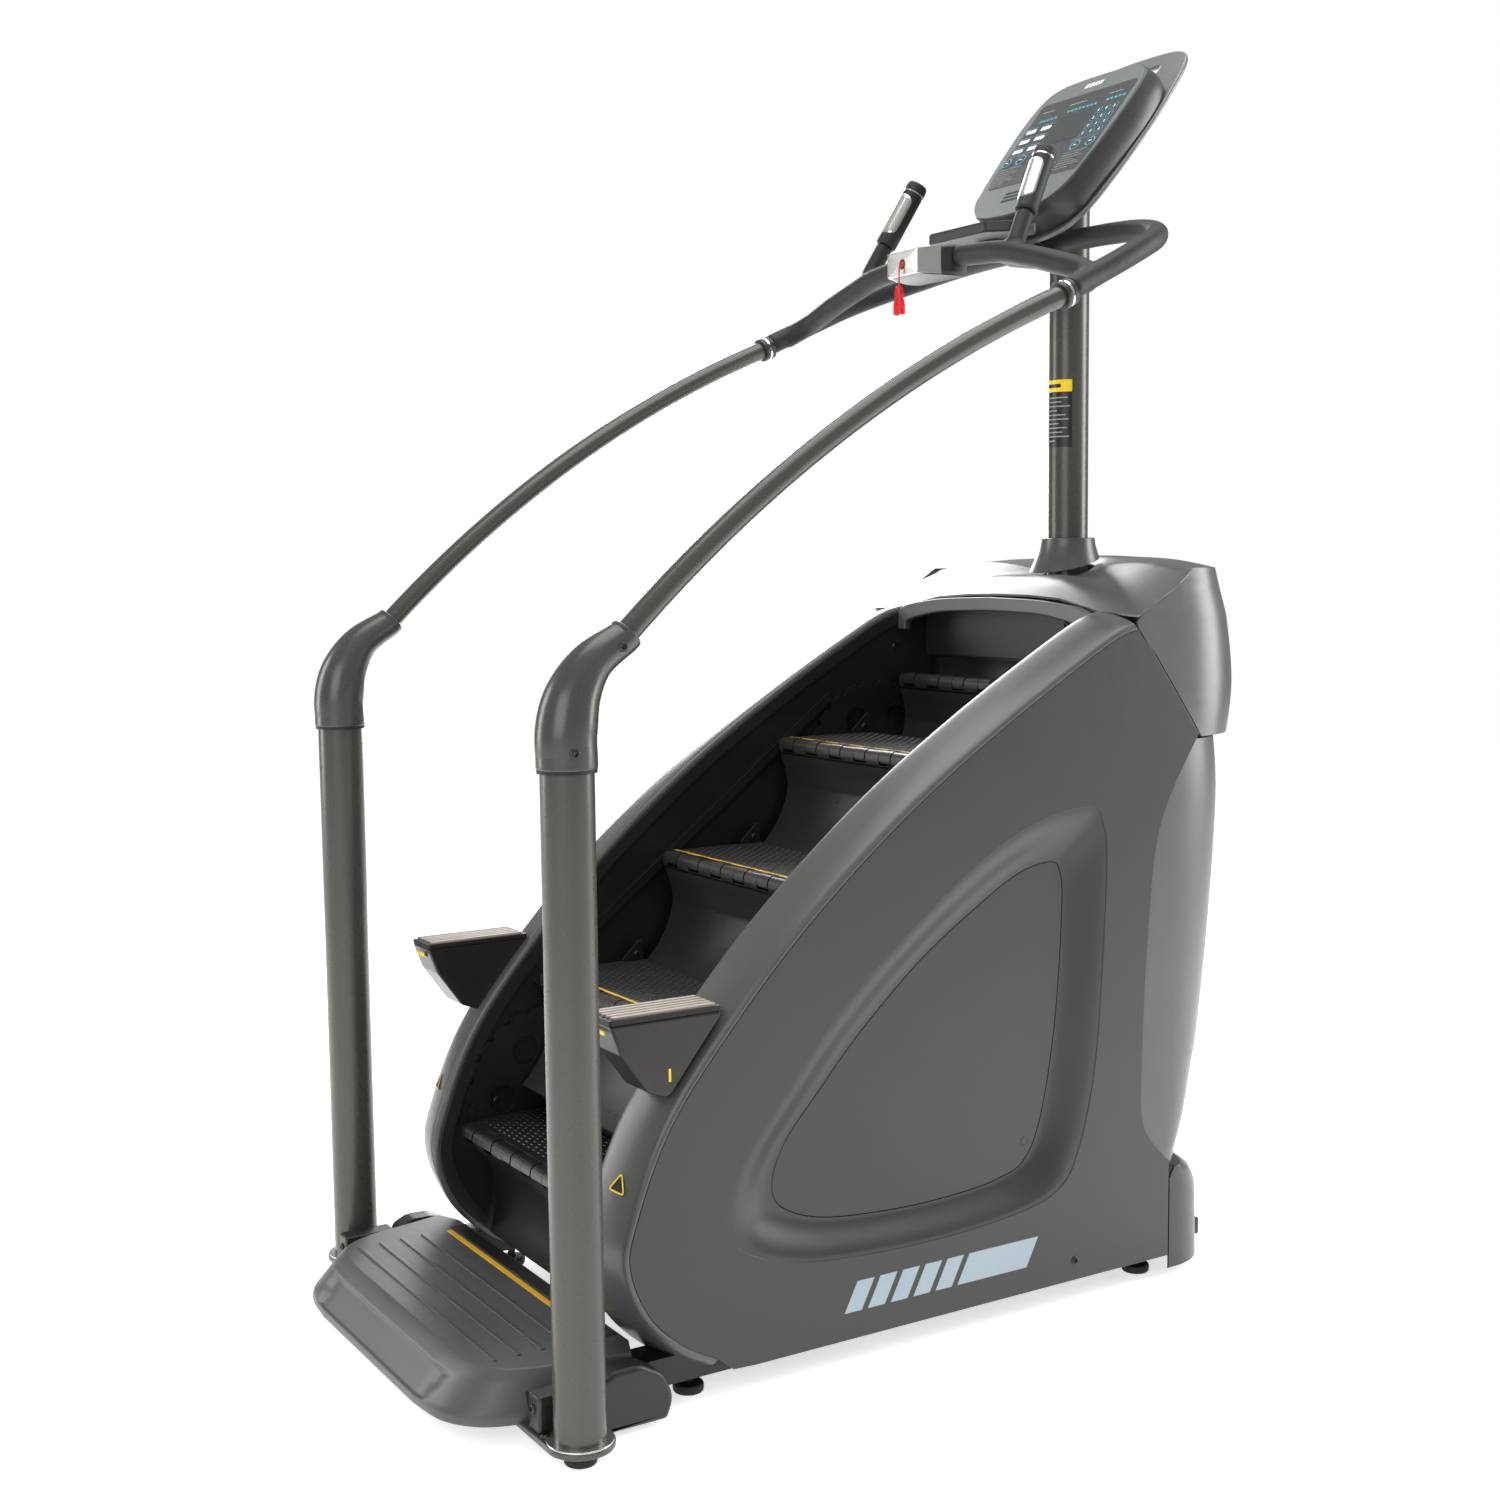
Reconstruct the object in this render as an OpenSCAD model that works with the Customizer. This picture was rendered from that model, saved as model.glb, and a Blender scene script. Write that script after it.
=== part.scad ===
// Stair climber: a motor-braked revolving staircase between two side pods,
// with posts and handrails in front and a console on a column behind.
// +Z is up, +Y is the climbing direction, +X is the climber's right hand.

/* [Stair] */
// Horizontal depth of one tread
tread_depth = 216; // [200:2:222]
// Distance between neighbouring step hinges along the chain
step_pitch = 330; // [326:1:334]
// Slope of the stair run, degrees
incline = 37.4; // [36:0.2:39]
// Width of one tread
tread_w = 552; // [500:4:552]
// Pitch radius of the chain sprockets
sprocket_r = 175; // [165:1:178]

/* [Side pods] */
// Outer face of each side panel, from the centre plane
pod_x = 394; // [390:1:398]
// Inner face of each side wall, from the centre plane
wall_x = 290; // [288:1:292]
// Thickness of the moulded covers
skin = 4; // [3:0.5:5]

/* [Posts and rails] */
// Diameter of the two front posts and of the console column
post_d = 78; // [70:1:80]
// Centre distance of each post from the centre plane
post_x = 461; // [455:1:465]
// Height of the top of each post
post_top = 1017; // [1000:1:1030]
// Diameter of the arched handrails
rail_d = 35; // [32:1:38]
// Diameter of the rubber-covered handlebar tubes
bar_d = 40; // [36:1:42]
// Radius of the handrail arch
rail_arch_r = 2450; // [2400:10:2500]

/* [Console] */
// Tilt of the console face from horizontal, degrees
console_tilt = 50; // [48:1:52]
// Travel of a console key
key_travel = 1; // [0.5:0.1:1.2]

/* [Platform] */
// Height of the entry platform
platform_top = 105; // [100:1:110]

/* [Hidden] */
$fn = 48;

console_y = 520;
console_z = 1950;
housing_depth = 60;
back_t = 9;
back_len = 473;
platform_front = -800;
// The origin is under the middle of the machine's outline.
centre_y = (console_y + back_len * cos(console_tilt)
            + (housing_depth + back_t) * sin(console_tilt) + platform_front) / 2;
panel_gap = 1.5;
step_count = 9;
step_end_x = tread_w / 2;
chain_x = 278;
chain_w = 8;
shaft_r = 20;
stub_r = 15;
knuckle_r = 12;
rod_r = 6;
rod_clearance = 0.1;
tread_t = 28;
riser_t = 5;
riser_bow = 30;

function along(a) = [cos(a), sin(a)];
run_dir = along(incline);
out_dir = [-run_dir[1], run_dir[0]];
hinge_1 = [-333, 548];
lower_t = -125;
run_len = (step_count * step_pitch - 2 * PI * sprocket_r) / 2;
lower_axis = hinge_1 + lower_t * run_dir - sprocket_r * out_dir;
upper_axis = lower_axis + run_len * run_dir;

function front_hinge(k) = hinge_1 + (k - 1) * step_pitch * run_dir;
function turn_angle(arc) = arc / sprocket_r * 180 / PI;
function turned(axis, a) = axis + sprocket_r * along(90 + incline - a);
hinge_4 = turned(upper_axis, turn_angle(3 * step_pitch - (run_len + lower_t)));
hinge_5 = turned(upper_axis, turn_angle(4 * step_pitch - (run_len + lower_t)));
hinge_0 = turned(lower_axis, -turn_angle(step_pitch + lower_t));
function return_hinge(k) = lower_axis - sprocket_r * out_dir
    + ((k + 2) * step_pitch + lower_t - PI * sprocket_r) * run_dir;

// ---- shared shapes ----

// Catmull-Rom curve through the given points, each span cut in n parts.
function blend_at(p, i, t) =
    let (a = p[max(i - 1, 0)], b = p[i], c = p[i + 1], d = p[min(i + 2, len(p) - 1)])
    0.5 * (2 * b + (c - a) * t + (2 * a - 5 * b + 4 * c - d) * t * t
           + (3 * b - a - 3 * c + d) * t * t * t);
function curve(p, n) =
    concat([for (i = [0 : len(p) - 2]) for (j = [0 : n - 1]) blend_at(p, i, j / n)],
           [p[len(p) - 1]]);
function closed_curve(p, n) =
    let (m = len(p), q = concat([p[m - 1]], p, [p[0], p[1]]))
    [for (i = [1 : m]) for (j = [0 : n - 1]) blend_at(q, i, j / n)];
function unit(v) = v / norm(v);
function tangent(p, i) = unit(p[min(i + 1, len(p) - 1)] - p[max(i - 1, 0)]);
function mirrored(p) = [for (i = [len(p) - 1 : -1 : 0]) [-p[i][0], p[i][1]]];

// Extrudes a side-view outline (Y, Z) from X = x0 to X = x1.
module side_plate(x0, x1) {
    translate([x0, 0, 0]) rotate([90, 0, 90]) linear_extrude(x1 - x0) children();
}

// Cylinder along X at a side-view point.
module axle(p, x0, x1, r) {
    translate([x0, p[0], p[1]]) rotate([0, 90, 0]) cylinder(r = r, h = x1 - x0);
}

module both_sides() {
    children();
    mirror([1, 0, 0]) children();
}

// The two triangles between rings a and b at side j.
function quad(a, b, j, n) = [[a * n + j, a * n + (j + 1) % n, b * n + (j + 1) % n],
                             [a * n + j, b * n + (j + 1) % n, b * n + j]];

// Skin round a closed loop of rings, open in the middle.
module skin_loop(rings) {
    n = len(rings[0]);
    m = len(rings);
    polyhedron([for (r = rings) for (p = r) p],
               [for (i = [0 : m - 1]) for (j = [0 : n - 1]) each quad(i, (i + 1) % m, j, n)],
               convexity = 6);
}

// Closed skin over a list of rings with equal point counts.
module skin_solid(rings) {
    n = len(rings[0]);
    m = len(rings);
    pts = [for (r = rings) for (p = r) p];
    sides = [for (i = [0 : m - 2]) for (j = [0 : n - 1]) each quad(i, i + 1, j, n)];
    ends = [[for (j = [n - 1 : -1 : 0]) j], [for (j = [0 : n - 1]) (m - 1) * n + j]];
    polyhedron(pts, concat(sides, ends), convexity = 6);
}

// Round tube swept along 3-D points, its radius read from a list or a number.
module swept(path, r, sides = 12, ref = [0, 0, 1]) {
    skin_solid([for (i = [0 : len(path) - 1])
        let (t = tangent(path, i),
             a = unit(cross(ref, t)),
             b = cross(t, a),
             q = is_list(r) ? r[i] : r)
        [for (j = [0 : sides - 1])
            path[i] - q * cos(360 * j / sides) * a + q * sin(360 * j / sides) * b]]);
}

module rod(a, b, r) {
    d = b - a;
    translate(a) rotate([0, acos(d[2] / norm(d)), atan2(d[1], d[0])])
        cylinder(r = r, h = norm(d));
}

// ---- side-view outlines ----

// Edge of the bright band round the stair opening, from the hood to the floor.
band_edge = curve([[491, 1191], [421, 1165], [201, 1040], [-5, 904], [-200, 744],
    [-350, 590], [-458, 453], [-519, 315], [-532, 240], [-498, 154], [-436, 92],
    [-375, 58]], 4);
function edge_normal(i) = let (t = tangent(band_edge, i)) [t[1], -t[0]];
function band_at(i, n) = band_edge[i] + n * edge_normal(i);
function band_offset(n) = [for (i = [0 : len(band_edge) - 1]) band_at(i, n)];

recess_edge = closed_curve([[392, 877], [277, 861], [149, 802], [0, 697], [-133, 587],
    [-250, 457], [-325, 360], [-349, 285], [-315, 228], [-200, 190], [0, 176],
    [200, 184], [320, 212], [370, 284], [405, 430], [422, 640], [428, 790],
    [418, 850]], 3);
access_edge = closed_curve([[325, 785], [255, 772], [169, 726], [47, 647], [-75, 543],
    [-155, 460], [-223, 384], [-249, 320], [-230, 276], [-148, 244], [0, 231],
    [123, 233], [209, 243], [270, 268], [308, 347], [338, 510], [352, 700],
    [347, 765]], 3);
rear_seam = curve([[627, 192], [560, 238], [520, 300], [517, 413], [527, 620],
    [555, 830], [646, 991]], 4);

hood_seam = [[616, 1030], [582, 1075], [541, 1130], [496, 1186]];

module pod_outline() {
    polygon(concat(band_offset(-12), [[-300, 42], [582, 42], [582, 222]],
                   [for (i = [3 : len(rear_seam) - 1]) rear_seam[i] - [panel_gap, 0]],
                   hood_seam));
}

// ---- plan rings for the rounded rear ----

// Half ring round the back, from the right side to the left.
rear_squareness = 2.7;
function ring_power(v) = sign(v) * pow(abs(v), 2 / rear_squareness);
function rear_point(centre, depth, half_w, z, a) =
    [half_w * ring_power(cos(a)), centre + depth * ring_power(sin(a)), z];
function rear_start(front_y, centre, depth) =
    asin(pow((front_y - centre) / depth, rear_squareness / 2));
function rear_ring(front_y, centre, depth, half_w, z, n = 20) =
    front_y > centre
    ? let (a0 = rear_start(front_y, centre, depth))
        [for (i = [0 : n + 2]) rear_point(centre, depth, half_w, z,
                                          a0 + (180 - 2 * a0) * i / (n + 2))]
    : concat([[half_w, front_y, z]],
             [for (i = [0 : n]) rear_point(centre, depth, half_w, z, 180 * i / n)],
             [[-half_w, front_y, z]]);

// Open shell between matching outer and inner half rings, listed from the bottom up.
module rear_shell(levels) {
    n = len(levels[0][0]);
    m = len(levels);
    pts = concat([for (v = levels) for (p = v[0]) p], [for (v = levels) for (p = v[1]) p]);
    wall = [for (i = [0 : m - 2]) for (j = [0 : n - 2])
            [[i * n + j, i * n + j + 1, (i + 1) * n + j + 1],
             [i * n + j, (i + 1) * n + j + 1, (i + 1) * n + j]]];
    k = m * n;
    outside = [for (w = wall) for (f = w) [f[2], f[1], f[0]]];
    inside = [for (w = wall) for (f = w) [k + f[0], k + f[1], k + f[2]]];
    bottom = [for (j = [0 : n - 2]) each [[j, j + 1, k + j + 1], [j, k + j + 1, k + j]]];
    t = (m - 1) * n;
    top = [for (j = [0 : n - 2]) each [[t + j + 1, t + j, k + t + j],
                                       [t + j + 1, k + t + j, k + t + j + 1]]];
    right = [for (i = [0 : m - 2]) let (a = i * n, b = (i + 1) * n)
             each [[a, k + a, k + b], [a, k + b, b]]];
    left = [for (i = [0 : m - 2]) let (a = i * n + n - 1, b = (i + 1) * n + n - 1)
            each [[a, b, k + b], [a, k + b, k + a]]];
    polyhedron(pts, concat(outside, inside, bottom, top, right, left), convexity = 6);
}
function shell_level(front_y, centre, depth, half_w, z) =
    [rear_ring(front_y, centre, depth, half_w, z),
     rear_ring(front_y, centre, depth - skin, half_w - skin, z)];

// ---- base ----

rail_x0 = 310;
rail_x1 = 370;
frame_z0 = 35;
frame_z1 = 80;
foot_spots = [[332, -388], [332, 560]];
wheel_axis = [690, 60];
wheel_r = 37;
wheel_x0 = 285;
wheel_w = 26;
motor_axis = [380, 230];
motor_r = 80;
beam_z0 = 1106;
beam_z1 = 1160;
column_y = 676;

module frame_side() {
    translate([rail_x0, -620, frame_z0]) cube([rail_x1 - rail_x0, 1240, frame_z1 - frame_z0]);
    // rear upright
    translate([rail_x0, 565, frame_z1]) cube([40, 35, beam_z1 - frame_z1]);
    difference() {
        // slanted bearing rail and its front leg
        side_plate(rail_x0, rail_x0 + 30) union() {
            polygon([lower_axis + [-90, -20], lower_axis + [-90, 50],
                     [565, 1060], [565, 940], lower_axis + [70, -60]]);
            polygon([[-410, frame_z1], [-410, 330], [-300, 330], [-300, frame_z1]]);
        }
        axle(lower_axis, rail_x0 - 1, rail_x1, 48);
    }
    // wheel arm with its stub axle
    translate([wheel_x0 + wheel_w + 4, 605, 45]) cube([30, 100, 30]);
    axle(wheel_axis, wheel_x0, wheel_x0 + wheel_w + 5, 6);
    // stub axle of the upper idler
    axle(upper_axis, chain_x, rail_x0 + 5, stub_r);
}

module base_frame() {
    color([0.12, 0.12, 0.12]) {
        both_sides() frame_side();
        // cross members
        translate([-422, -680, frame_z0]) cube([844, 60, 41]);
        for (y = [-560, 350, 575])
            translate([-rail_x0 - 5, y, frame_z0]) cube([2 * rail_x0 + 10, 50, 40]);
        // motor pedestal
        translate([-220, 355, 70]) cube([120, 50, 70]);
        // column beam and seat
        translate([-rail_x0 - 50, 565, beam_z0]) cube([2 * rail_x0 + 100, 40, beam_z1 - beam_z0]);
        translate([-60, 600, beam_z0]) cube([120, 130, beam_z1 - beam_z0]);
    }
}

module foot(p, top) {
    translate([p[0], p[1], 0]) {
        cylinder(d1 = 46, d2 = 50, h = 6);
        translate([0, 0, 6]) cylinder(d = 50, h = 8);
        translate([0, 0, 14]) cylinder(d = 14, h = top - 14);
    }
}

module levelling_feet() {
    color([0.05, 0.05, 0.05]) both_sides() {
        for (p = foot_spots) foot(p, frame_z0);
        foot([post_x, -643], 25);
    }
}

module wheel() {
    color([0.35, 0.35, 0.34]) difference() {
        axle(wheel_axis, wheel_x0, wheel_x0 + wheel_w, wheel_r);
        axle(wheel_axis, wheel_x0 - 1, wheel_x0 + wheel_w + 1, 6.08);
        axle(wheel_axis, wheel_x0 + wheel_w - 6, wheel_x0 + wheel_w + 1, 22);
    }
}

module wheel_right() {
    wheel();
}

module wheel_left() {
    mirror([1, 0, 0]) wheel();
}

// Plan outline of the platform: half of it, from the front's middle to the pod.
platform_half = concat([[0, platform_front]],
    curve([[200, platform_front], [285, platform_front + 12], [340, platform_front + 52],
           [366, platform_front + 115], [374, platform_front + 175]], 3),
    [[379, -512], [330, -492]]);

module platform_cover() {
    outline = concat(platform_half, [for (i = [len(platform_half) - 1 : -1 : 1])
                                     [-platform_half[i][0], platform_half[i][1]]]);
    color([0.36, 0.37, 0.37]) difference() {
        intersection() {
            linear_extrude(platform_top) polygon(outline);
            side_plate(-400, 400) polygon([[platform_front, 30], [platform_front, 45],
                [-740, platform_top], [-492, platform_top], [-492, 30]]);
        }
        translate([-423, -700, 0]) cube([846, 260, frame_z1 + 1]);
        translate([-300, -735, 0]) cube([600, 240, platform_top - 6]);
    }
}

module ankle_covers() {
    color([0.1, 0.1, 0.1]) both_sides() difference() {
        translate([381, -590, 8]) union() {
            cube([43, 165, 60]);
            translate([0, 60, 60]) rotate([0, 90, 0]) cylinder(r = 60, h = 43);
        }
        translate([371, -700, -60]) cube([60, 400, 68]);
    }
}

// ---- posts and rails ----

module post() {
    translate([post_x, -643, 35]) cylinder(d = post_d, h = post_top - 35);
    translate([post_x, -643, 25]) cylinder(r = 52, h = 10);
    translate([330, -695, 25]) cube([post_x - 330, 104, 10]);
}

module posts() {
    color([0.34, 0.34, 0.32]) both_sides() post();
}

// The handrail is one true arc from the elbow to the handlebar collar.
rail_start = [-541, 1206];
rail_end = [262, 1727];
rail_chord = rail_end - rail_start;
rail_angle = 2 * asin(norm(rail_chord) / 2 / rail_arch_r);
rail_slope = atan2(rail_chord[1], rail_chord[0]);
rail_centre = (rail_start + rail_end) / 2
    + rail_arch_r * cos(rail_angle / 2) * along(rail_slope - 90);

rail_in = along(rail_slope + rail_angle / 2);
elbow_path = concat([[post_x, -643, post_top], [post_x, -643, post_top + 5]],
    curve([[461, -643, 1035], [461, -643, 1070], [460, -631, 1120], [459, -600, 1166],
           [456, rail_start[0] - 10 * rail_in[0], rail_start[1] - 10 * rail_in[1]]], 3),
    [[456, rail_start[0], rail_start[1]]]);
function elbow_radius(i) = let (s = i / (len(elbow_path) - 1))
    s < 0.35 ? 44 : 44 - 19 * (s - 0.35) / 0.65;

module elbow_brackets() {
    color([0.32, 0.32, 0.31]) both_sides()
        swept(elbow_path, [for (i = [0 : len(elbow_path) - 1]) elbow_radius(i)], 20, [1, 0, 0]);
}

module handrails() {
    color([0.33, 0.33, 0.32]) both_sides()
        translate([456, rail_centre[0], rail_centre[1]]) rotate([90, 0, 90])
            rotate([0, 0, rail_slope + 90 - rail_angle / 2])
                rotate_extrude(angle = rail_angle, $fn = 180)
                    translate([rail_arch_r, 0]) circle(d = rail_d, $fn = 32);
}

rail_out = along(rail_slope - rail_angle / 2);
collar_len = 20.5;
collar_end = rail_end + collar_len * rail_out;

module rail_collars() {
    color([0.3, 0.3, 0.3]) both_sides()
        rod([456, rail_end[0], rail_end[1]], [456, collar_end[0], collar_end[1]], 23);
}

loop_path = curve([[455, 283, 1739], [446, 345, 1768], [440, 405, 1796], [428, 462, 1822],
    [400, 520, 1846], [345, 572, 1868], [260, 606, 1886], [150, 617, 1894],
    [0, 617, 1896]], 4);
branch_path = curve([[452, 318, 1752], [412, 352, 1779], [335, 354, 1804],
    [255, 356, 1826], [190, 356, 1841], [95, 353, 1848], [78, 353, 1848]], 3);
stop_side_x = 74.2;
grip_base = [220.7, 362, 1850];
sleeve_base = [210, 394, 1909];
grip_top = [189, 457, 2025];

module handlebar() {
    color([0.09, 0.09, 0.09]) both_sides() {
        swept(loop_path, bar_d / 2);
        swept(concat(branch_path, [[stop_side_x, 353, 1848]]), bar_d / 2);
        rod(grip_base, sleeve_base, 16.5);
    }
}

module grip_sleeves() {
    color([0.07, 0.07, 0.07]) both_sides() rod(sleeve_base, grip_top, 20);
}

// Curved contact plates let into the front of each sleeve.
module pulse_plates() {
    a = sleeve_base + 0.14 * (grip_top - sleeve_base);
    b = sleeve_base + 0.78 * (grip_top - sleeve_base);
    color([0.85, 0.85, 0.83]) both_sides() difference() {
        rod(a, b, 21.2);
        rod(a - 0.1 * (b - a), b + 0.1 * (b - a), 20.05);
        translate((a + b) / 2 - [100, -6, 150]) cube([300, 100, 300]);
    }
}

box_y = 280;
box_z = 1841;

module stop_box() {
    color([0.1, 0.1, 0.1]) difference() {
        hull() {
            translate([-46, box_y, box_z - 23]) cube([92, 2, 46]);
            translate([-74, box_y + 55, box_z - 27]) cube([148, 40, 56]);
        }
        translate([0, box_y + 8.1, box_z - 2]) rotate([90, 0, 0]) cylinder(r = 5.2, h = 9);
    }
}

cord_top = [0, box_y - 1, box_z - 2];
cord_route = [cord_top, [0, box_y - 6, 1834], [0, box_y - 7, 1824], [0, box_y - 7, 1812],
              [0, box_y - 7, 1800]];

module key_cord() {
    color([0.85, 0.05, 0.1]) {
        swept(curve(cord_route, 3), 1.5, 8, [1, 0, 0]);
        translate([0, box_y + 7.9, box_z - 2]) rotate([90, 0, 0]) cylinder(r = 5, h = 8.9);
    }
}

module key_clip() {
    color([0.9, 0.1, 0.15]) {
        translate([-9, box_y - 13, 1775]) cube([18, 12, 25]);
        both_sides() translate([2, box_y - 13, 1748]) cube([7, 12, 28]);
    }
}

// ---- column and console ----

column_top = 1990;

module column() {
    color([0.36, 0.35, 0.33]) translate([0, column_y, beam_z1])
        cylinder(d = post_d, h = column_top - beam_z1);
}

boot_base = 1262;
boot_top = 1342;

module column_boot() {
    color([0.3, 0.3, 0.3]) translate([0, column_y, 0]) difference() {
        translate([0, 0, boot_base]) cylinder(r1 = 82, r2 = 53, h = boot_top - boot_base);
        translate([0, 0, boot_base - 1]) cylinder(d = post_d + 1, h = 100);
        translate([-150, -column_y, 0]) side_plate(0, 300)
            polygon([[400, 1200], [900, 1200], [900, 1343], [400, 1240]]);
    }
}

module console_frame() {
    translate([0, console_y, console_z]) rotate([console_tilt, 0, 0]) children();
}

face_half = [[0, -6], [60, -1], [105, 16], [132, 48], [142, 95], [150, 160], [155, 240],
             [151, 300], [136, 340], [105, 359], [50, 365], [0, 366]];
face_outline = let (h = curve(face_half, 2))
    concat(h, [for (i = [len(h) - 2 : -1 : 1]) [-h[i][0], h[i][1]]]);
function face_ring(k, z) = [for (p = face_outline)
    [p[0] * k, 180 + (p[1] - 180) * k, z]];
back_half = [[0, -22], [70, -16], [122, 8], [148, 60], [160, 150], [163, 250], [158, 330],
             [148, 400], [128, 445], [92, 466], [45, back_len - 1], [0, back_len]];
back_outline = let (h = curve(back_half, 2))
    concat(h, [for (i = [len(h) - 2 : -1 : 1]) [-h[i][0], h[i][1]]]);

module console_face() {
    color([0.45, 0.46, 0.46]) console_frame() difference() {
        translate([0, 0, -3]) linear_extrude(3) polygon(face_outline);
        for (x = key_spots) translate([x, key_s, -4]) cylinder(r = key_hole_r, h = 5);
    }
}

key_spots = [-118, 122];
key_s = 156;
key_r = 12;
key_hole_r = 12.6;

module key_at(x) {
    color([0.3, 0.6, 0.7]) console_frame() translate([x, key_s, -3])
        cylinder(r = key_r, h = 4);
}

module key_start() {
    key_at(key_spots[0]);
}

module key_stop() {
    key_at(key_spots[1]);
}

module console_housing() {
    color([0.13, 0.13, 0.13]) console_frame() difference() {
        skin_solid([face_ring(1.03, -housing_depth), face_ring(1.05, -40),
                    face_ring(1.03, -14), face_ring(1.012, -3)]);
        for (x = key_spots)
            translate([x, key_s, -3 - key_travel - 0.5]) cylinder(r = key_hole_r, h = 3);
    }
}

module console_back() {
    color([0.36, 0.36, 0.36]) console_frame() difference() {
        translate([0, 0, -housing_depth - back_t]) linear_extrude(back_t) polygon(back_outline);
        translate([-70, 408, -100]) cube([140, 26, 60]);
        rotate([-console_tilt, 0, 0]) translate([0, column_y - console_y, -200])
            cylinder(d = post_d + 1, h = column_top - console_z + 201);
    }
}

module accessory_tray() {
    color([0.14, 0.14, 0.14]) difference() {
        hull() {
            translate([-118, 440, 1893]) cube([236, 60, 20]);
            translate([-85, 402, 1897]) cube([170, 20, 14]);
        }
        translate([-75, 418, 1904]) cube([150, 60, 20]);
    }
    color([0.14, 0.14, 0.14]) difference() {
        side_plate(-28, 28) polygon([[470, 1893], [545, 1893], [562, 1874], [660, 1874],
                                     [660, 1856], [552, 1856], [470, 1878]]);
        translate([0, column_y, 1800]) cylinder(d = post_d + 0.2, h = 100);
    }
}

// ---- side pods ----

panel_x0 = pod_x - skin;
dish_x = 364;
dish_centre = [60, 480];
function grown(outline, k) = [for (p = outline) dish_centre + (p - dish_centre) * k];
function ring_in(outline, x) = [for (q = outline) [x, q[0], q[1]]];

module side_panel() {
    color([0.29, 0.29, 0.285]) difference() {
        side_plate(panel_x0, pod_x) pod_outline();
        side_plate(panel_x0 - 1, pod_x + 1) polygon(grown(recess_edge, 0.994));
    }
}

// Scooped wall from the side panel down to the access panel.
module recess_trays() {
    color([0.29, 0.29, 0.285]) both_sides()
        skin_loop([ring_in(grown(recess_edge, 1.015), panel_x0),
                   ring_in(grown(access_edge, 1.03), dish_x),
                   ring_in(access_edge, dish_x), ring_in(recess_edge, panel_x0)]);
}

module side_panel_right() {
    side_panel();
}

module side_panel_left() {
    mirror([1, 0, 0]) side_panel();
}

module access_panels() {
    color([0.28, 0.28, 0.275]) both_sides() side_plate(dish_x - skin, dish_x)
        polygon(grown(access_edge, 1.02));
}

// Section of the rim: X, and height outward from the band edge.
rim_section = [[394, -12], [391, -4], [380, 3], [345, 14], [303, 20], [296, 19], [292, 13],
               [292, -6], [296, -6], [296, 12], [304, 15], [345, 9], [379, -2], [389, -12]];

module rim() {
    color([0.36, 0.36, 0.355]) skin_solid([for (i = [len(band_edge) - 1 : -1 : 0])
        [for (s = rim_section) let (p = band_at(i, s[1])) [s[0], p[0], p[1]]]]);
}

module rim_right() {
    rim();
}

module rim_left() {
    mirror([1, 0, 0]) rim();
}

module inner_walls() {
    // panel that closes the stair well behind the top step
    color([0.06, 0.06, 0.06]) translate([-285, 545, 1112]) cube([570, 4, 98]);
    color([0.06, 0.06, 0.06]) both_sides() difference() {
        side_plate(wall_x - skin + 2, wall_x + 2)
            polygon(concat(band_offset(12), [[-330, 82], [560, 82], [560, 1190]]));
        axle(lower_axis, wall_x - 20, wall_x + 20, 30);
        axle(motor_axis, wall_x - 20, wall_x + 20, 20);
        axle(upper_axis, wall_x - 20, wall_x + 20, stub_r + 1);
    }
}

// ---- hood and rear ----

hood_levels = [[985, 652, 250], [1030, 618, 262], [1075, 584, 268], [1130, 543, 262],
               [1193, 495, 246], [1240, 575, 228], [1285, 640, 212]];

hood_taper = 0.12;
function hood_half_w(z) = pod_x - hood_taper * max(0, z - 1200);

// Edge of the hood's top: it climbs from the stair opening to the back.
function hood_edge_z(y) = y < 640 ? 1201 + (y - 488) * 0.5 : 1277 + 8 * min(1, (y - 640) / 100);
hood_rear_edge = [for (i = [0 : 20]) let (p = rear_point(600, 212, 384, 0, 180 * i / 20))
                  [p[0], p[1], hood_edge_z(p[1])]];
hood_front_half = [[386, 560, 1237], [388, 495, 1204], [300, 492, 1210], [180, 500, 1232]];
hood_edge = concat(hood_rear_edge, [for (p = hood_front_half) [-p[0], p[1], p[2]]],
                   [[0, 505, 1238]], [for (i = [3 : -1 : 0]) hood_front_half[i]]);
collar_hole_r = 52;
hood_crown = 20;
function hood_hole_point(p) = let (d = unit([p[0], p[1] - column_y]) * collar_hole_r)
    [d[0], column_y + d[1], 1278 + 0.28 * d[1]];
function hood_top_ring(t, drop) = [for (p = hood_edge)
    let (q = hood_hole_point(p)) p + t * (q - p) + [0, 0, hood_crown * sin(180 * t) - drop]];

module hood() {
    color([0.4, 0.4, 0.4]) {
        rear_shell([for (h = hood_levels) shell_level(h[1], 600, h[2], hood_half_w(h[0]), h[0])]);
        skin_loop(concat([for (t = [0 : 0.25 : 1]) hood_top_ring(t, skin)],
                         [for (t = [1 : -0.25 : 0]) hood_top_ring(t, 0)]));
    }
}

lip_x = 287;
lip_arch = [[lip_x, 1206], [240, 1218], [140, 1228], [0, 1232]];
lip_drop = 26;

module hood_lip() {
    top = concat(lip_arch, [for (i = [2 : -1 : 0]) [-lip_arch[i][0], lip_arch[i][1]]]);
    inset = 24;
    low = [for (p = top) [p[0] - sign(p[0]) * inset, p[1] - lip_drop]];
    color([0.42, 0.42, 0.42]) translate([0, 490, 0]) rotate([90, 0, 0]) linear_extrude(14)
        polygon(concat([[lip_x, 1165]], top, [[-lip_x, 1165], [inset - lip_x, 1165]],
                       [for (i = [len(low) - 1 : -1 : 0]) low[i]], [[lip_x - inset, 1165]]));
}

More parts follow.
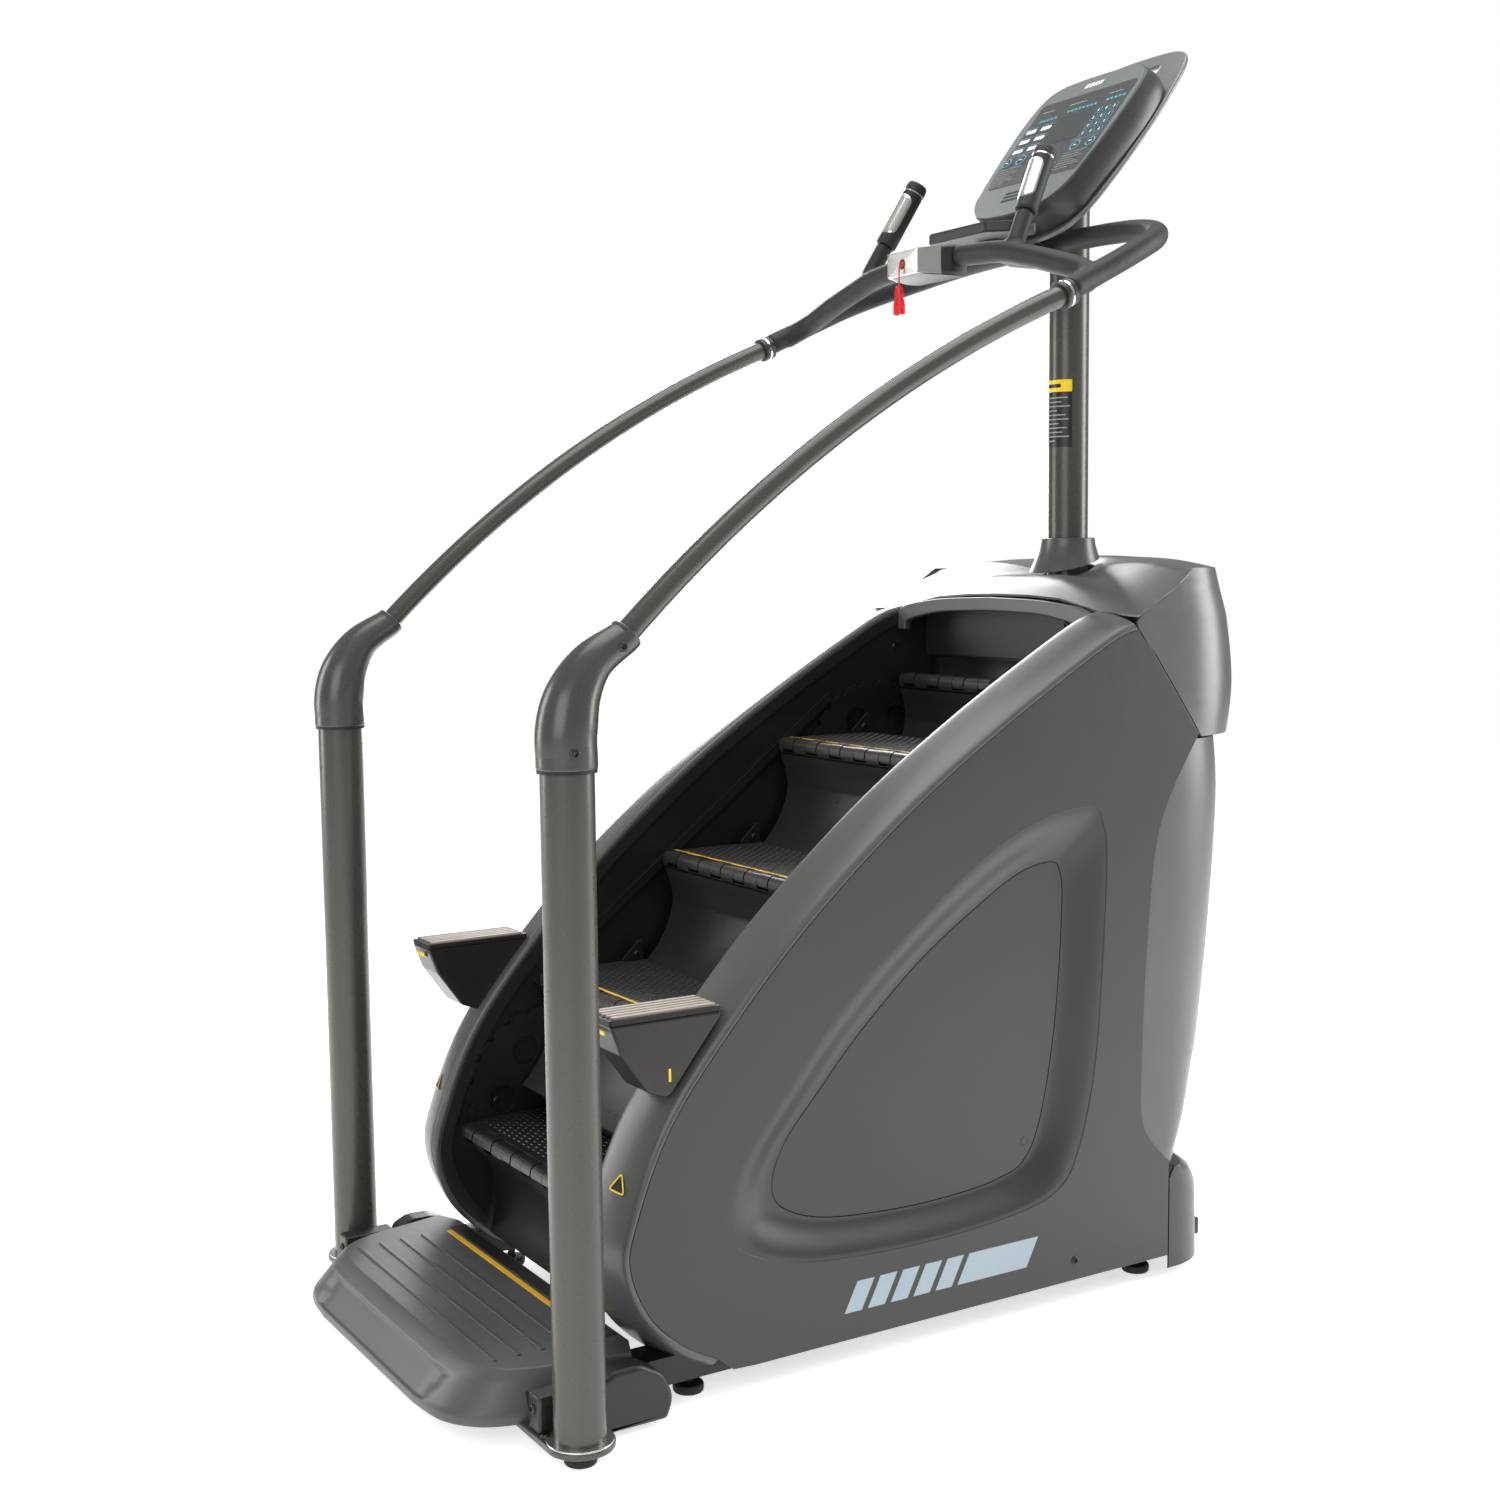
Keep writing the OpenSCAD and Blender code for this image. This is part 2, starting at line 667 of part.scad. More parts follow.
rear_levels = [[205, 600, 92], [272, 560, 143], [308, 545, 163], [381, 530, 190],
               [435, 525, 210], [620, 535, 247], [860, 572, 274], [980, 640, 262]];

module rear_cover() {
    color([0.3, 0.3, 0.29])
        rear_shell([for (h = rear_levels) shell_level(h[1], 566, h[2] - 5, 390, h[0])]);
}

module base_cover() {
    color([0.29, 0.29, 0.285]) difference() {
        rear_shell([shell_level(584, 586, 170, pod_x, 17), shell_level(584, 586, 164, pod_x, 150),
                    shell_level(584, 586, 140, pod_x, 185), shell_level(600, 590, 96, 391, 204)]);
        both_sides() translate([wheel_x0 - 5, 640, 10]) cube([75, 130, 100]);
    }
}

// ---- side steps ----

module side_steps() {
    color([0.3, 0.3, 0.3]) both_sides() side_plate(314, 388)
        polygon([[-545, 618], [-357, 618], [-461, 496], [-484, 510], [-520, 560]]);
}

module side_step_pads() {
    slot_count = 4;
    color([0.5, 0.48, 0.46]) both_sides() difference() {
        translate([312, -545, 618]) cube([76, 195, 12]);
        for (i = [0 : slot_count - 1])
            translate([322 + 16 * i, -520, 626]) cube([7, 160, 5]);
    }
}

// ---- steps ----

tab_pitch = 80;
tab_w = 34;
tab_count = 7;
function tab_x(j) = (j - (tab_count - 1) / 2) * tab_pitch;

// A tread about its hinge, turned by a degrees.
module tread(h, a = 0) {
    translate([0, h[0], h[1]]) rotate([a, 0, 0]) {
        side_plate(-step_end_x, step_end_x)
            polygon([[13, knuckle_r], [tread_depth - 12, knuckle_r], [tread_depth - 12, 4],
                     [tread_depth - 30, knuckle_r - tread_t], [22, knuckle_r - tread_t], [13, -6]]);
        axle([0, 0], -step_end_x, step_end_x, rod_r);
        for (j = [0 : tab_count]) {
            x0 = j == 0 ? -step_end_x : tab_x(j - 1) + tab_w / 2 + 1;
            x1 = j == tab_count ? step_end_x : tab_x(j) - tab_w / 2 - 1;
            axle([0, 0], x0, x1, knuckle_r);
            translate([x0, 0, 0]) cube([x1 - x0, 14, knuckle_r]);
        }
    }
}

riser_len = 200;
function riser_point(s, t) = [riser_bow * 4 * s * (1 - s) + t, -riser_len * s];

// A riser about the same hinge; a is the direction its foot points in.
module riser(h, a) {
    steps = 12;
    first = 0.075;
    translate([0, h[0], h[1]]) rotate([a + 90, 0, 0]) difference() {
        union() {
            side_plate(-step_end_x + 6, step_end_x - 6) polygon(concat(
                [for (i = [0 : steps]) riser_point(first + (1 - first) * i / steps, 0)],
                [for (i = [steps : -1 : 0]) riser_point(first + (1 - first) * i / steps, riser_t)]));
            for (j = [0 : tab_count - 1]) {
                axle([0, 0], tab_x(j) - tab_w / 2, tab_x(j) + tab_w / 2, knuckle_r);
                translate([tab_x(j) - tab_w / 2, 5, -17]) cube([tab_w, 7, 11]);
            }
        }
        axle([0, 0], -step_end_x, step_end_x, rod_r + rod_clearance);
    }
}

riser_rest = -105.4;
tread_color = [0.08, 0.08, 0.08];
riser_color = [0.11, 0.11, 0.11];

module tread_1() {
    color(tread_color) tread(front_hinge(1));
}

module riser_1() {
    color(riser_color) riser(front_hinge(1), riser_rest);
}

module tread_2() {
    color(tread_color) tread(front_hinge(2));
}

module riser_2() {
    color(riser_color) riser(front_hinge(2), riser_rest);
}

module tread_3() {
    color(tread_color) tread(front_hinge(3));
}

module riser_3() {
    color(riser_color) riser(front_hinge(3), riser_rest);
}

module upper_treads() {
    color(tread_color) {
        tread(hinge_4, -26);
        tread(hinge_5, -150);
    }
}

module riser_4() {
    color(riser_color) riser(hinge_4, -108);
}

module riser_5() {
    color(riser_color) riser(hinge_5, 95);
}

module lower_tread() {
    color(tread_color) tread(hinge_0, 3);
}

module lower_riser() {
    color(riser_color) riser(hinge_0, -79);
}

module return_treads() {
    color(tread_color) {
        tread(return_hinge(0), 180 + incline);
        tread(return_hinge(1), 180);
        tread(return_hinge(2), 180);
    }
}

module return_risers() {
    color(riser_color) for (k = [0 : 2]) riser(return_hinge(k), riser_rest + 180);
}

// ---- drive ----

module sprocket(axis, x0, bore_r) {
    tooth_count = 24;
    hole_count = 6;
    difference() {
        axle(axis, x0, x0 + chain_w - 2, sprocket_r - 12);
        axle(axis, x0 - 1, x0 + chain_w, bore_r);
        for (i = [0 : tooth_count - 1])
            axle(axis + (sprocket_r - 12) * along(i * 360 / tooth_count), x0 - 1, x0 + chain_w, 8);
        for (i = [0 : hole_count - 1])
            axle(axis + sprocket_r * 0.55 * along(i * 360 / hole_count), x0 - 1, x0 + chain_w, 26);
    }
}

module idler_sprockets() {
    color([0.3, 0.3, 0.3]) both_sides() sprocket(upper_axis, chain_x + 1, stub_r + 0.05);
}

module drive_sprockets() {
    color([0.3, 0.3, 0.3]) both_sides() sprocket(lower_axis, chain_x + 1, shaft_r + 0.05);
}

pulley_x0 = 346;
pulley_w = 12;
driven_r = 120;
motor_pulley_r = 30;

module drive_shaft() {
    color([0.5, 0.5, 0.5]) {
        axle(lower_axis, -pulley_x0 - pulley_w, 312, shaft_r);
        axle(lower_axis, -pulley_x0 - pulley_w, -pulley_x0, driven_r);
    }
}

module shaft_bearings() {
    color([0.25, 0.25, 0.25]) both_sides() difference() {
        axle(lower_axis, wall_x + 2, rail_x0, 55);
        axle(lower_axis, wall_x, rail_x0 + 1, shaft_r + 0.05);
    }
}

module drive_motor() {
    color([0.2, 0.2, 0.2]) {
        axle(motor_axis, -250, -60, motor_r);
        translate([-220, 340, 140]) cube([120, 80, 40]);
    }
}

module motor_pulley() {
    color([0.5, 0.5, 0.5]) {
        axle(motor_axis, -pulley_x0 - pulley_w, -251, 12);
        axle(motor_axis, -pulley_x0 - pulley_w, -pulley_x0, motor_pulley_r);
    }
}

// Open belt round both pulleys, a hair clear of each.
module belt_outline(extra) {
    d = norm(motor_axis - lower_axis);
    a = atan2(motor_axis[1] - lower_axis[1], motor_axis[0] - lower_axis[0]);
    lean = asin((driven_r - motor_pulley_r) / d);
    ra = driven_r + extra;
    rb = motor_pulley_r + extra;
    polygon(concat(
        [for (i = [0 : 24]) lower_axis + ra * along(a + 90 - lean + (180 + 2 * lean) * i / 24)],
        [for (i = [0 : 10]) motor_axis + rb * along(a - 90 + lean + (180 - 2 * lean) * i / 10)]));
}

module drive_belt() {
    color([0.05, 0.05, 0.05]) side_plate(-pulley_x0 - pulley_w + 1, -pulley_x0 - 1) difference() {
        belt_outline(4);
        belt_outline(0.6);
    }
}

chain_h = 16;
module chain_bar(t0, t1, side) {
    a = lower_axis + side * sprocket_r * out_dir;
    both_sides() side_plate(chain_x, chain_x + chain_w) polygon([
        a + t0 * run_dir - chain_h / 2 * out_dir, a + t1 * run_dir - chain_h / 2 * out_dir,
        a + t1 * run_dir + chain_h / 2 * out_dir, a + t0 * run_dir + chain_h / 2 * out_dir]);
}

drive_travel = 95;

module front_chains() {
    color([0.2, 0.2, 0.2]) chain_bar(drive_travel + 10, run_len - 5, 1);
}

module return_chains() {
    color([0.2, 0.2, 0.2]) chain_bar(5, run_len - drive_travel - 10, -1);
}

module bolts() {
    color([0.25, 0.25, 0.25]) both_sides() {
        // skirt bolt on each side panel
        axle([360, 78], pod_x, pod_x + 4, 6);
        // foot plate bolts
        for (x = [385, 440]) translate([x, -686, 35]) cylinder(r = 6, h = 5);
    }
}

module placed() {
    translate([0, -centre_y, 0]) children();
}

placed() base_frame();
placed() levelling_feet();
placed() wheel_left();
placed() wheel_right();
placed() platform_cover();
placed() ankle_covers();
placed() posts();
placed() elbow_brackets();
placed() handrails();
placed() rail_collars();
placed() handlebar();
placed() grip_sleeves();
placed() pulse_plates();
placed() stop_box();
placed() key_cord();
placed() key_clip();
placed() column();
placed() column_boot();
placed() console_back();
placed() console_housing();
placed() console_face();
placed() key_start();
placed() key_stop();
placed() accessory_tray();
placed() side_panel_left();
placed() side_panel_right();
placed() recess_trays();
placed() access_panels();
placed() rim_left();
placed() rim_right();
placed() inner_walls();
placed() hood();
placed() hood_lip();
placed() rear_cover();
placed() base_cover();
placed() side_steps();
placed() side_step_pads();
placed() tread_1();
placed() riser_1();
placed() tread_2();
placed() riser_2();
placed() tread_3();
placed() riser_3();
placed() upper_treads();
placed() riser_4();
placed() riser_5();
placed() idler_sprockets();
placed() return_treads();
placed() return_risers();
placed() drive_shaft();
placed() drive_sprockets();
placed() lower_tread();
placed() lower_riser();
placed() shaft_bearings();
placed() drive_motor();
placed() motor_pulley();
placed() drive_belt();
placed() front_chains();
placed() return_chains();
placed() bolts();
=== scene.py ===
"""Looks of the stair climber around its CAD frame. Helpers work in mm, in the machine's coordinates."""

import math

import bpy
import bmesh
from mathutils import Matrix, Vector
from mathutils.geometry import tessellate_polygon


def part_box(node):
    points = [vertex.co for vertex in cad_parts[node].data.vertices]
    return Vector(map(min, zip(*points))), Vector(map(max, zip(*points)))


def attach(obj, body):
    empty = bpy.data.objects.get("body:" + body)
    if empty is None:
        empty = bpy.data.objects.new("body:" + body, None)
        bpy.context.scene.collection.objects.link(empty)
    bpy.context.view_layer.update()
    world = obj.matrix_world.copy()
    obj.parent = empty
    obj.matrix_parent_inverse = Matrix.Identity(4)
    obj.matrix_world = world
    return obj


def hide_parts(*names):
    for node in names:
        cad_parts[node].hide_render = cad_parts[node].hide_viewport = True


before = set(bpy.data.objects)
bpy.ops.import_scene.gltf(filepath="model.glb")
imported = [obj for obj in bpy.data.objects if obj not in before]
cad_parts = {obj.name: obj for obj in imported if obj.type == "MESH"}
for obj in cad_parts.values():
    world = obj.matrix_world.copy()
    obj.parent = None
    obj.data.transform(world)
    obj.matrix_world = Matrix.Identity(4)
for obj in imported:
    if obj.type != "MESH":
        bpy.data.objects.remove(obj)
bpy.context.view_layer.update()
scene = bpy.context.scene
scene.view_settings.view_transform = "Standard"

MM = 0.001
PLATFORM_FRONT = -800.0
CY = PLATFORM_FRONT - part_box("platform_cover")[0].y / MM


def at(p):
    """Machine millimetres to row-frame metres."""
    return Vector((p[0] * MM, (p[1] - CY) * MM, p[2] * MM))


# ---------------------------------------------------------------- camera
CAMERA_AT = (2903, -1845, 1308)
AZIMUTH, PITCH, ROLL = math.radians(58.35331), math.radians(5.61958), math.radians(-0.61228)
SENSOR, LENS = 36.0, 46.456


def make_camera():
    level = math.cos(PITCH)
    fwd = Vector((-math.sin(AZIMUTH) * level, math.cos(AZIMUTH) * level, -math.sin(PITCH)))
    right = fwd.cross(Vector((0, 0, 1))).normalized()
    up = right.cross(fwd)
    r = math.cos(ROLL) * right + math.sin(ROLL) * up
    u = -math.sin(ROLL) * right + math.cos(ROLL) * up
    data = bpy.data.cameras.new("camera")
    data.sensor_width = SENSOR
    data.lens = LENS
    data.clip_start, data.clip_end = 0.05, 100
    cam = bpy.data.objects.new("camera", data)
    scene.collection.objects.link(cam)
    m = Matrix((r, u, -fwd)).transposed().to_4x4()
    m.translation = at(CAMERA_AT)
    cam.matrix_world = m
    scene.camera = cam


make_camera()


# ---------------------------------------------------------------- curves and outlines
def blend_at(p, i, t, closed=False):
    n = len(p)
    if closed:
        a, b, c, d = p[(i - 1) % n], p[i % n], p[(i + 1) % n], p[(i + 2) % n]
    else:
        a, b, c, d = p[max(i - 1, 0)], p[i], p[i + 1], p[min(i + 2, n - 1)]
    return tuple(0.5 * (2 * b[k] + (c[k] - a[k]) * t + (2 * a[k] - 5 * b[k] + 4 * c[k] - d[k]) * t * t
                        + (3 * b[k] - a[k] - 3 * c[k] + d[k]) * t ** 3) for k in range(len(b)))


def curve(p, n):
    """Catmull-Rom curve through the points, n parts a span."""
    out = [blend_at(p, i, j / n) for i in range(len(p) - 1) for j in range(n)]
    return out + [tuple(p[-1])]


def closed_curve(p, n):
    return [blend_at(p, i, j / n, True) for i in range(len(p)) for j in range(n)]


def mirror_half(half):
    """Closed outline from its +X half, which starts and ends on X = 0."""
    return list(half) + [(-x, y) for x, y in reversed(half[1:-1])]


def area2(p):
    return sum(p[i][0] * p[(i + 1) % len(p)][1] - p[(i + 1) % len(p)][0] * p[i][1] for i in range(len(p)))


def ccw(p):
    return list(p) if area2(p) > 0 else list(reversed(p))


def offset(p, d):
    """Closed outline moved out by d along its mitred normals."""
    if d == 0:
        return list(p)
    n, out = len(p), []
    s = 1 if area2(p) > 0 else -1
    for i in range(n):
        a, b, c = Vector(p[i - 1]), Vector(p[i]), Vector(p[(i + 1) % n])
        u, v = (b - a), (c - b)
        if u.length < 1e-9 or v.length < 1e-9:
            m = (c - a)
            m = Vector((m.y, -m.x)).normalized()
            out.append(tuple(b + m * d * s))
            continue
        nu, nv = Vector((u.y, -u.x)).normalized(), Vector((v.y, -v.x)).normalized()
        m = nu + nv
        if m.length < 1e-6:
            m = nu.copy()
        m.normalize()
        k = max(0.5, m.dot(nu))
        out.append(tuple(b + m * (d * s / k)))
    return out


def rounded(p, r, n=5):
    """Outline with its corners rounded; r is one radius or one for each corner."""
    out, m = [], len(p)
    for i in range(m):
        rr = r[i] if isinstance(r, (list, tuple)) else r
        a, b, c = Vector(p[i - 1]), Vector(p[i]), Vector(p[(i + 1) % m])
        u, v = (a - b).normalized(), (c - b).normalized()
        half = math.acos(max(-1, min(1, u.dot(v)))) / 2
        if rr <= 0 or half > 1.5:
            out.append(tuple(b))
            continue
        cut = min(rr / math.tan(half), (a - b).length * 0.48, (c - b).length * 0.48)
        q = cut * math.tan(half)
        centre = b + (u + v).normalized() * (q / math.sin(half))
        s, e = b + u * cut - centre, b + v * cut - centre
        turn = s.angle_signed(e)
        for k in range(n + 1):
            g = turn * k / n
            out.append((centre.x + s.x * math.cos(g) + s.y * math.sin(g),
                        centre.y - s.x * math.sin(g) + s.y * math.cos(g)))
    return out


def turns(n):
    """n equal angles round a full circle."""
    return [2 * math.pi * i / n for i in range(n)]


def circle(cx, cy, r, n=32):
    return [(cx + r * math.cos(a), cy + r * math.sin(a)) for a in turns(n)]


# ---------------------------------------------------------------- mesh building
class Shape:
    """Vertices and faces in machine mm, with a material index for each face."""

    def __init__(self):
        self.v, self.f, self.m = [], [], []

    def add(self, verts, faces, mat=0):
        k = len(self.v)
        self.v += [tuple(p) for p in verts]
        self.f += [tuple(k + i for i in f) for f in faces]
        self.m += [mat] * len(faces)
        return self

    def join(self, other, mat=None):
        k = len(self.v)
        self.v += other.v
        self.f += [tuple(k + i for i in f) for f in other.f]
        self.m += other.m if mat is None else [mat] * len(other.f)
        return self

    def both(self):
        """Adds the mirror image across the centre plane."""
        k, nf = len(self.v), len(self.f)
        self.v += [(-x, y, z) for x, y, z in self.v]
        self.f += [tuple(k + i for i in reversed(f)) for f in self.f[:nf]]
        self.m += self.m[:nf]
        return self

    def mirrored(self):
        """Mirror image across the centre plane."""
        q = Shape().join(self)
        q.v = [(-x, y, z) for x, y, z in q.v]
        q.f = [tuple(reversed(f)) for f in q.f]
        return q


def loft(rings, closed=True, caps=(True, True), mat=0, loop=False):
    """Skin over rings of equal length."""
    s, n = Shape(), len(rings[0])
    verts = [p for r in rings for p in r]
    faces = []
    m = len(rings)
    for i in range(m if loop else m - 1):
        i2 = (i + 1) % m
        for j in range(n if closed else n - 1):
            j2 = (j + 1) % n
            faces.append((i * n + j, i * n + j2, i2 * n + j2, i2 * n + j))
    s.add(verts, faces, mat)
    for which, i in ((0, 0), (1, m - 1)):
        if caps[which] and closed:
            ring = rings[i]
            c = tuple(sum(p[k] for p in ring) / n for k in range(3))
            s.add(list(ring) + [c], [(j, (j + 1) % n, n) for j in range(n)], mat)
    return s


def frames_along(path):
    """Unit tangents and a steady sideways pair along a 3-D path."""
    p = [Vector(q) for q in path]
    out, side = [], None
    for i in range(len(p)):
        t = (p[min(i + 1, len(p) - 1)] - p[max(i - 1, 0)]).normalized()
        if side is None:
            ref = Vector((0, 0, 1)) if abs(t.z) < 0.9 else Vector((1, 0, 0))
            side = ref.cross(t).normalized()
        else:
            side = (side - t * side.dot(t)).normalized()
        out.append((p[i], t, side, t.cross(side)))
    return out


def tube(path, r, sides=32, ends=0.0):
    """Round tube along a path; ends is the rounding of its two ends."""
    fr = frames_along(path)
    n = len(fr)
    radii = [r(i / (n - 1)) if callable(r) else r for i in range(n)]
    rings = []

    def ring(c, a, b, q):
        return [tuple(c + a * (q * math.cos(g)) + b * (q * math.sin(g))) for g in turns(sides)]

    rim = ((0.0, 1.0), (0.13, 0.5), (0.5, 0.13), (1.0, 0.0))
    for i, (c, t, a, b) in enumerate(fr):
        if ends and i == 0:
            rings += [ring(c + t * (ends * k), a, b, radii[0] - ends * q) for k, q in rim]
        elif ends and i == n - 1:
            rings += [ring(c - t * (ends * k), a, b, radii[-1] - ends * q) for k, q in reversed(rim)]
        else:
            rings.append(ring(c, a, b, radii[i]))
    return loft(rings)


def lathe(profile, put, sides=48):
    """Turned shape: profile lists (radius, height), put maps (u, v, h) to space."""
    return loft([[put(u, v, h) for u, v in circle(0, 0, r, sides)] for r, h in profile])


def cap(ring):
    """Flat filling of a ring."""
    return Shape().add(ring, [tuple(t) for t in tessellate_polygon([[Vector(p) for p in ring]])])


ARC = ((1.0, 0.0), (0.62, 0.076), (0.29, 0.29), (0.076, 0.62), (0.0, 1.0))


def slab(outer, h0, h1, put, r=1.0, r0=None, holes=()):
    """Plate from h0 to h1 over an outline with holes, its edges rounded by r at h1 and r0 at h0."""
    r0 = r if r0 is None else r0
    sgn = 1 if h1 > h0 else -1
    s, base, top = Shape(), [], []
    for p, side in [(ccw(outer), -1)] + [(ccw(h), 1) for h in holes]:
        rings = [(offset(p, side * r0 * a), h0 + sgn * r0 * b) for a, b in ARC] if r0 else [(p, h0)]
        rings += [(offset(p, side * r * a), h1 - sgn * r * b) for a, b in reversed(ARC)] if r else [(p, h1)]
        s.join(loft([[put(u, v, h) for u, v in q] for q, h in rings], caps=(False, False)))
        base.append(rings[0])
        top.append(rings[-1])
    for loop in (base, top):
        tris = tessellate_polygon([[Vector((u, v, 0)) for u, v in q] for q, h in loop])
        s.add([put(u, v, h) for q, h in loop for u, v in q], [tuple(t) for t in tris])
    return s


def film(outline, h0, h1, put, r, holes=()):
    """Thin plate that lies on a surface, rounded only at its outer edge."""
    return slab(outline, h0, h1, put, r=r, r0=0, holes=holes)


def on_x(u, v, h):
    return (h, u, v)


def on_z(u, v, h):
    return (u, v, h)


def on_y(u, v, h):
    return (u, h, v)


def rect(x0, x1, y0, y1, r):
    return rounded([(x0, y0), (x1, y0), (x1, y1), (x0, y1)], r, 4)


def block(x0, x1, y0, y1, z0, z1, r, corner=None):
    """Box with rounded edges."""
    return slab(rect(x0, x1, y0, y1, r if corner is None else corner), z0, z1, on_z, r=r)


def disc_put(c, axis):
    """Maps (u, v, h) to a disc at point c whose axis is the given unit vector."""
    n = Vector(axis).normalized()
    ref = Vector((0, 0, 1)) if abs(n.z) < 0.9 else Vector((1, 0, 0))
    a = ref.cross(n).normalized()
    b = n.cross(a)
    c = Vector(c)
    return lambda u, v, h: tuple(c + a * u + b * v + n * h)


def hex_bolt(c, axis, r=7.0, h=3.5, mat=0, hole_mat=None):
    """Button head bolt with a hex socket, its axis pointing away from the surface."""
    put = disc_put(c, axis)
    prof = [(r * 0.9, -1), (r, 0), (r, h * 0.35), (r * 0.9, h * 0.7), (r * 0.7, h * 0.95), (r * 0.55, h)]

    def hexed(q, z):
        ring = [(a, q / math.cos(a % (math.pi / 3) - math.pi / 6)) for a in turns(48)]
        return [put(d * math.cos(a), d * math.sin(a), z) for a, d in ring]

    rings = [[put(u, v, z) for u, v in circle(0, 0, q, 48)] for q, z in prof] + [hexed(r * 0.45, h)]
    s = loft(rings, caps=(True, False), mat=mat)
    # the socket's inside takes hole_mat, which is near-black in every call: painted shade in the socket
    deep = [rings[-1], hexed(r * 0.43, h * 0.2)]
    return s.join(loft(deep, caps=(False, True), mat=mat if hole_mat is None else hole_mat))


def piece(name, shape, mats, replaces=(), body="machine", sharp=40, weighted=True):
    """Makes the object, in metres, with its materials, body and the CAD nodes it stands for."""
    me = bpy.data.meshes.new(name)
    me.from_pydata([at(p) for p in shape.v], [], shape.f)
    mats = mats if isinstance(mats, (list, tuple)) else [mats]
    for m in mats:
        me.materials.append(m)
    me.polygons.foreach_set("material_index", shape.m)
    bm = bmesh.new()
    bm.from_mesh(me)
    bmesh.ops.remove_doubles(bm, verts=bm.verts, dist=2e-5)
    bmesh.ops.dissolve_degenerate(bm, edges=bm.edges, dist=1e-6)
    bmesh.ops.recalc_face_normals(bm, faces=bm.faces)
    for f in bm.faces:
        f.smooth = True
    for e in bm.edges:
        if len(e.link_faces) == 2:
            a, b = e.link_faces
            e.smooth = e.calc_face_angle(0) < math.radians(sharp) and a.material_index == b.material_index
    bm.to_mesh(me)
    bm.free()
    ob = bpy.data.objects.new(name, me)
    scene.collection.objects.link(ob)
    if weighted:
        w = ob.modifiers.new("normals", "WEIGHTED_NORMAL")
        w.keep_sharp = True
        w.weight = 90
    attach(ob, body)
    if replaces:
        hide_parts(*replaces)
    return ob


# ---------------------------------------------------------------- materials
def material(name, color, rough, metal=0.0, grain=(900, 0.06), mottle=0.06, smudge=0.06, spec=0.5,
             trans=0.0, edge=0.0):
    """Moulded, painted or turned surface: fine grain in the bump, soft mottling of colour and
    roughness, and lighter rubbed edges."""
    m = bpy.data.materials.new(name)
    m.use_nodes = True
    nd, ln = m.node_tree.nodes, m.node_tree.links
    bsdf = nd["Principled BSDF"]
    for socket, value in (("Metallic", metal), ("Specular IOR Level", spec), ("Transmission Weight", trans)):
        bsdf.inputs[socket].default_value = value
    where = nd.new("ShaderNodeTexCoord").outputs["Object"]

    def noise(scale, detail):
        n = nd.new("ShaderNodeTexNoise")
        n.inputs["Scale"].default_value = scale
        n.inputs["Detail"].default_value = detail
        ln.new(where, n.inputs["Vector"])
        return n.outputs["Fac"]

    def ranged(source, lo, hi, start=0.0, end=1.0):
        n = nd.new("ShaderNodeMapRange")
        for socket, value in (("From Min", start), ("From Max", end), ("To Min", lo), ("To Max", hi)):
            n.inputs[socket].default_value = value
        ln.new(source, n.inputs["Value"])
        return n.outputs["Result"]

    ramp = nd.new("ShaderNodeValToRGB")
    for i, k in enumerate((-1, 1)):
        stop = ramp.color_ramp.elements[i]
        stop.position = 0.5 + 0.2 * k
        stop.color = tuple(min(1, c * (1 + k * mottle)) for c in color) + (1,)
    ln.new(noise(7, 5), ramp.inputs["Fac"])
    tint = ramp.outputs["Color"]
    if edge:
        rubbed = ranged(nd.new("ShaderNodeNewGeometry").outputs["Pointiness"], 0, edge, 0.53, 0.62)
        mx = nd.new("ShaderNodeMixRGB")
        mx.inputs["Color2"].default_value = tuple(min(1, c * 2.2 + 0.03) for c in color) + (1,)
        ln.new(rubbed, mx.inputs["Fac"])
        ln.new(tint, mx.inputs["Color1"])
        tint = mx.outputs["Color"]
    ln.new(tint, bsdf.inputs["Base Color"])
    ln.new(ranged(noise(55, 4), max(0.02, rough - smudge), min(1, rough + smudge)), bsdf.inputs["Roughness"])
    bump = nd.new("ShaderNodeBump")
    bump.inputs["Strength"].default_value = grain[1]
    bump.inputs["Distance"].default_value = 0.00025 if metal < 0.3 else 0.00006
    ln.new(noise(grain[0], 2), bump.inputs["Height"])
    ln.new(bump.outputs["Normal"], bsdf.inputs["Normal"])
    return m


def lin(r, g, b):
    return tuple(((c / 255 + 0.055) / 1.055) ** 2.4 if c > 10 else c / 3294.6 for c in (r, g, b))


GUNMETAL = material("panel_plastic", lin(51, 51, 49), 0.34, 0.0, (1500, 0.10), 0.03, 0.04)
RIM = material("rim_plastic", lin(88, 88, 86), 0.33, 0.25, (1500, 0.08), 0.04, 0.05)
HOOD = material("hood_plastic", lin(84, 84, 82), 0.3, 0.2, (1400, 0.08), 0.04, 0.05)
TUBE = material("tube_paint", lin(76, 75, 70), 0.28, 0.3, (420, 0.05), 0.03, 0.03)
ELBOW = material("elbow_paint", lin(78, 77, 74), 0.28, 0.4, (2000, 0.06), 0.05, 0.05)
PLATFORM = material("platform_plastic", lin(76, 77, 77), 0.42, 0.1, (1700, 0.14), 0.05, 0.06, edge=0.2)
RIB = material("platform_rib", lin(70, 71, 71), 0.35, 0.1, (1700, 0.1), 0.05, 0.05)
BLACK = material("black_plastic", lin(30, 30, 30), 0.42, 0.0, (1500, 0.12), 0.1, 0.06, edge=0.15)
# near-black wall plastic; the same colour is also painted shade on the lowest tread and riser, the sprockets
# and the chains
WALL_AND_SHADE = material("wall_plastic_and_shade", lin(26, 26, 26), 0.3, 0.0, (1500, 0.1), 0.1, 0.06)
FRAMEP = material("frame_paint", lin(34, 34, 34), 0.4, 0.2, (1200, 0.12), 0.1, 0.06)
RUBBER = material("foot_rubber", lin(22, 22, 22), 0.7, 0.0, (700, 0.3), 0.15, 0.08)
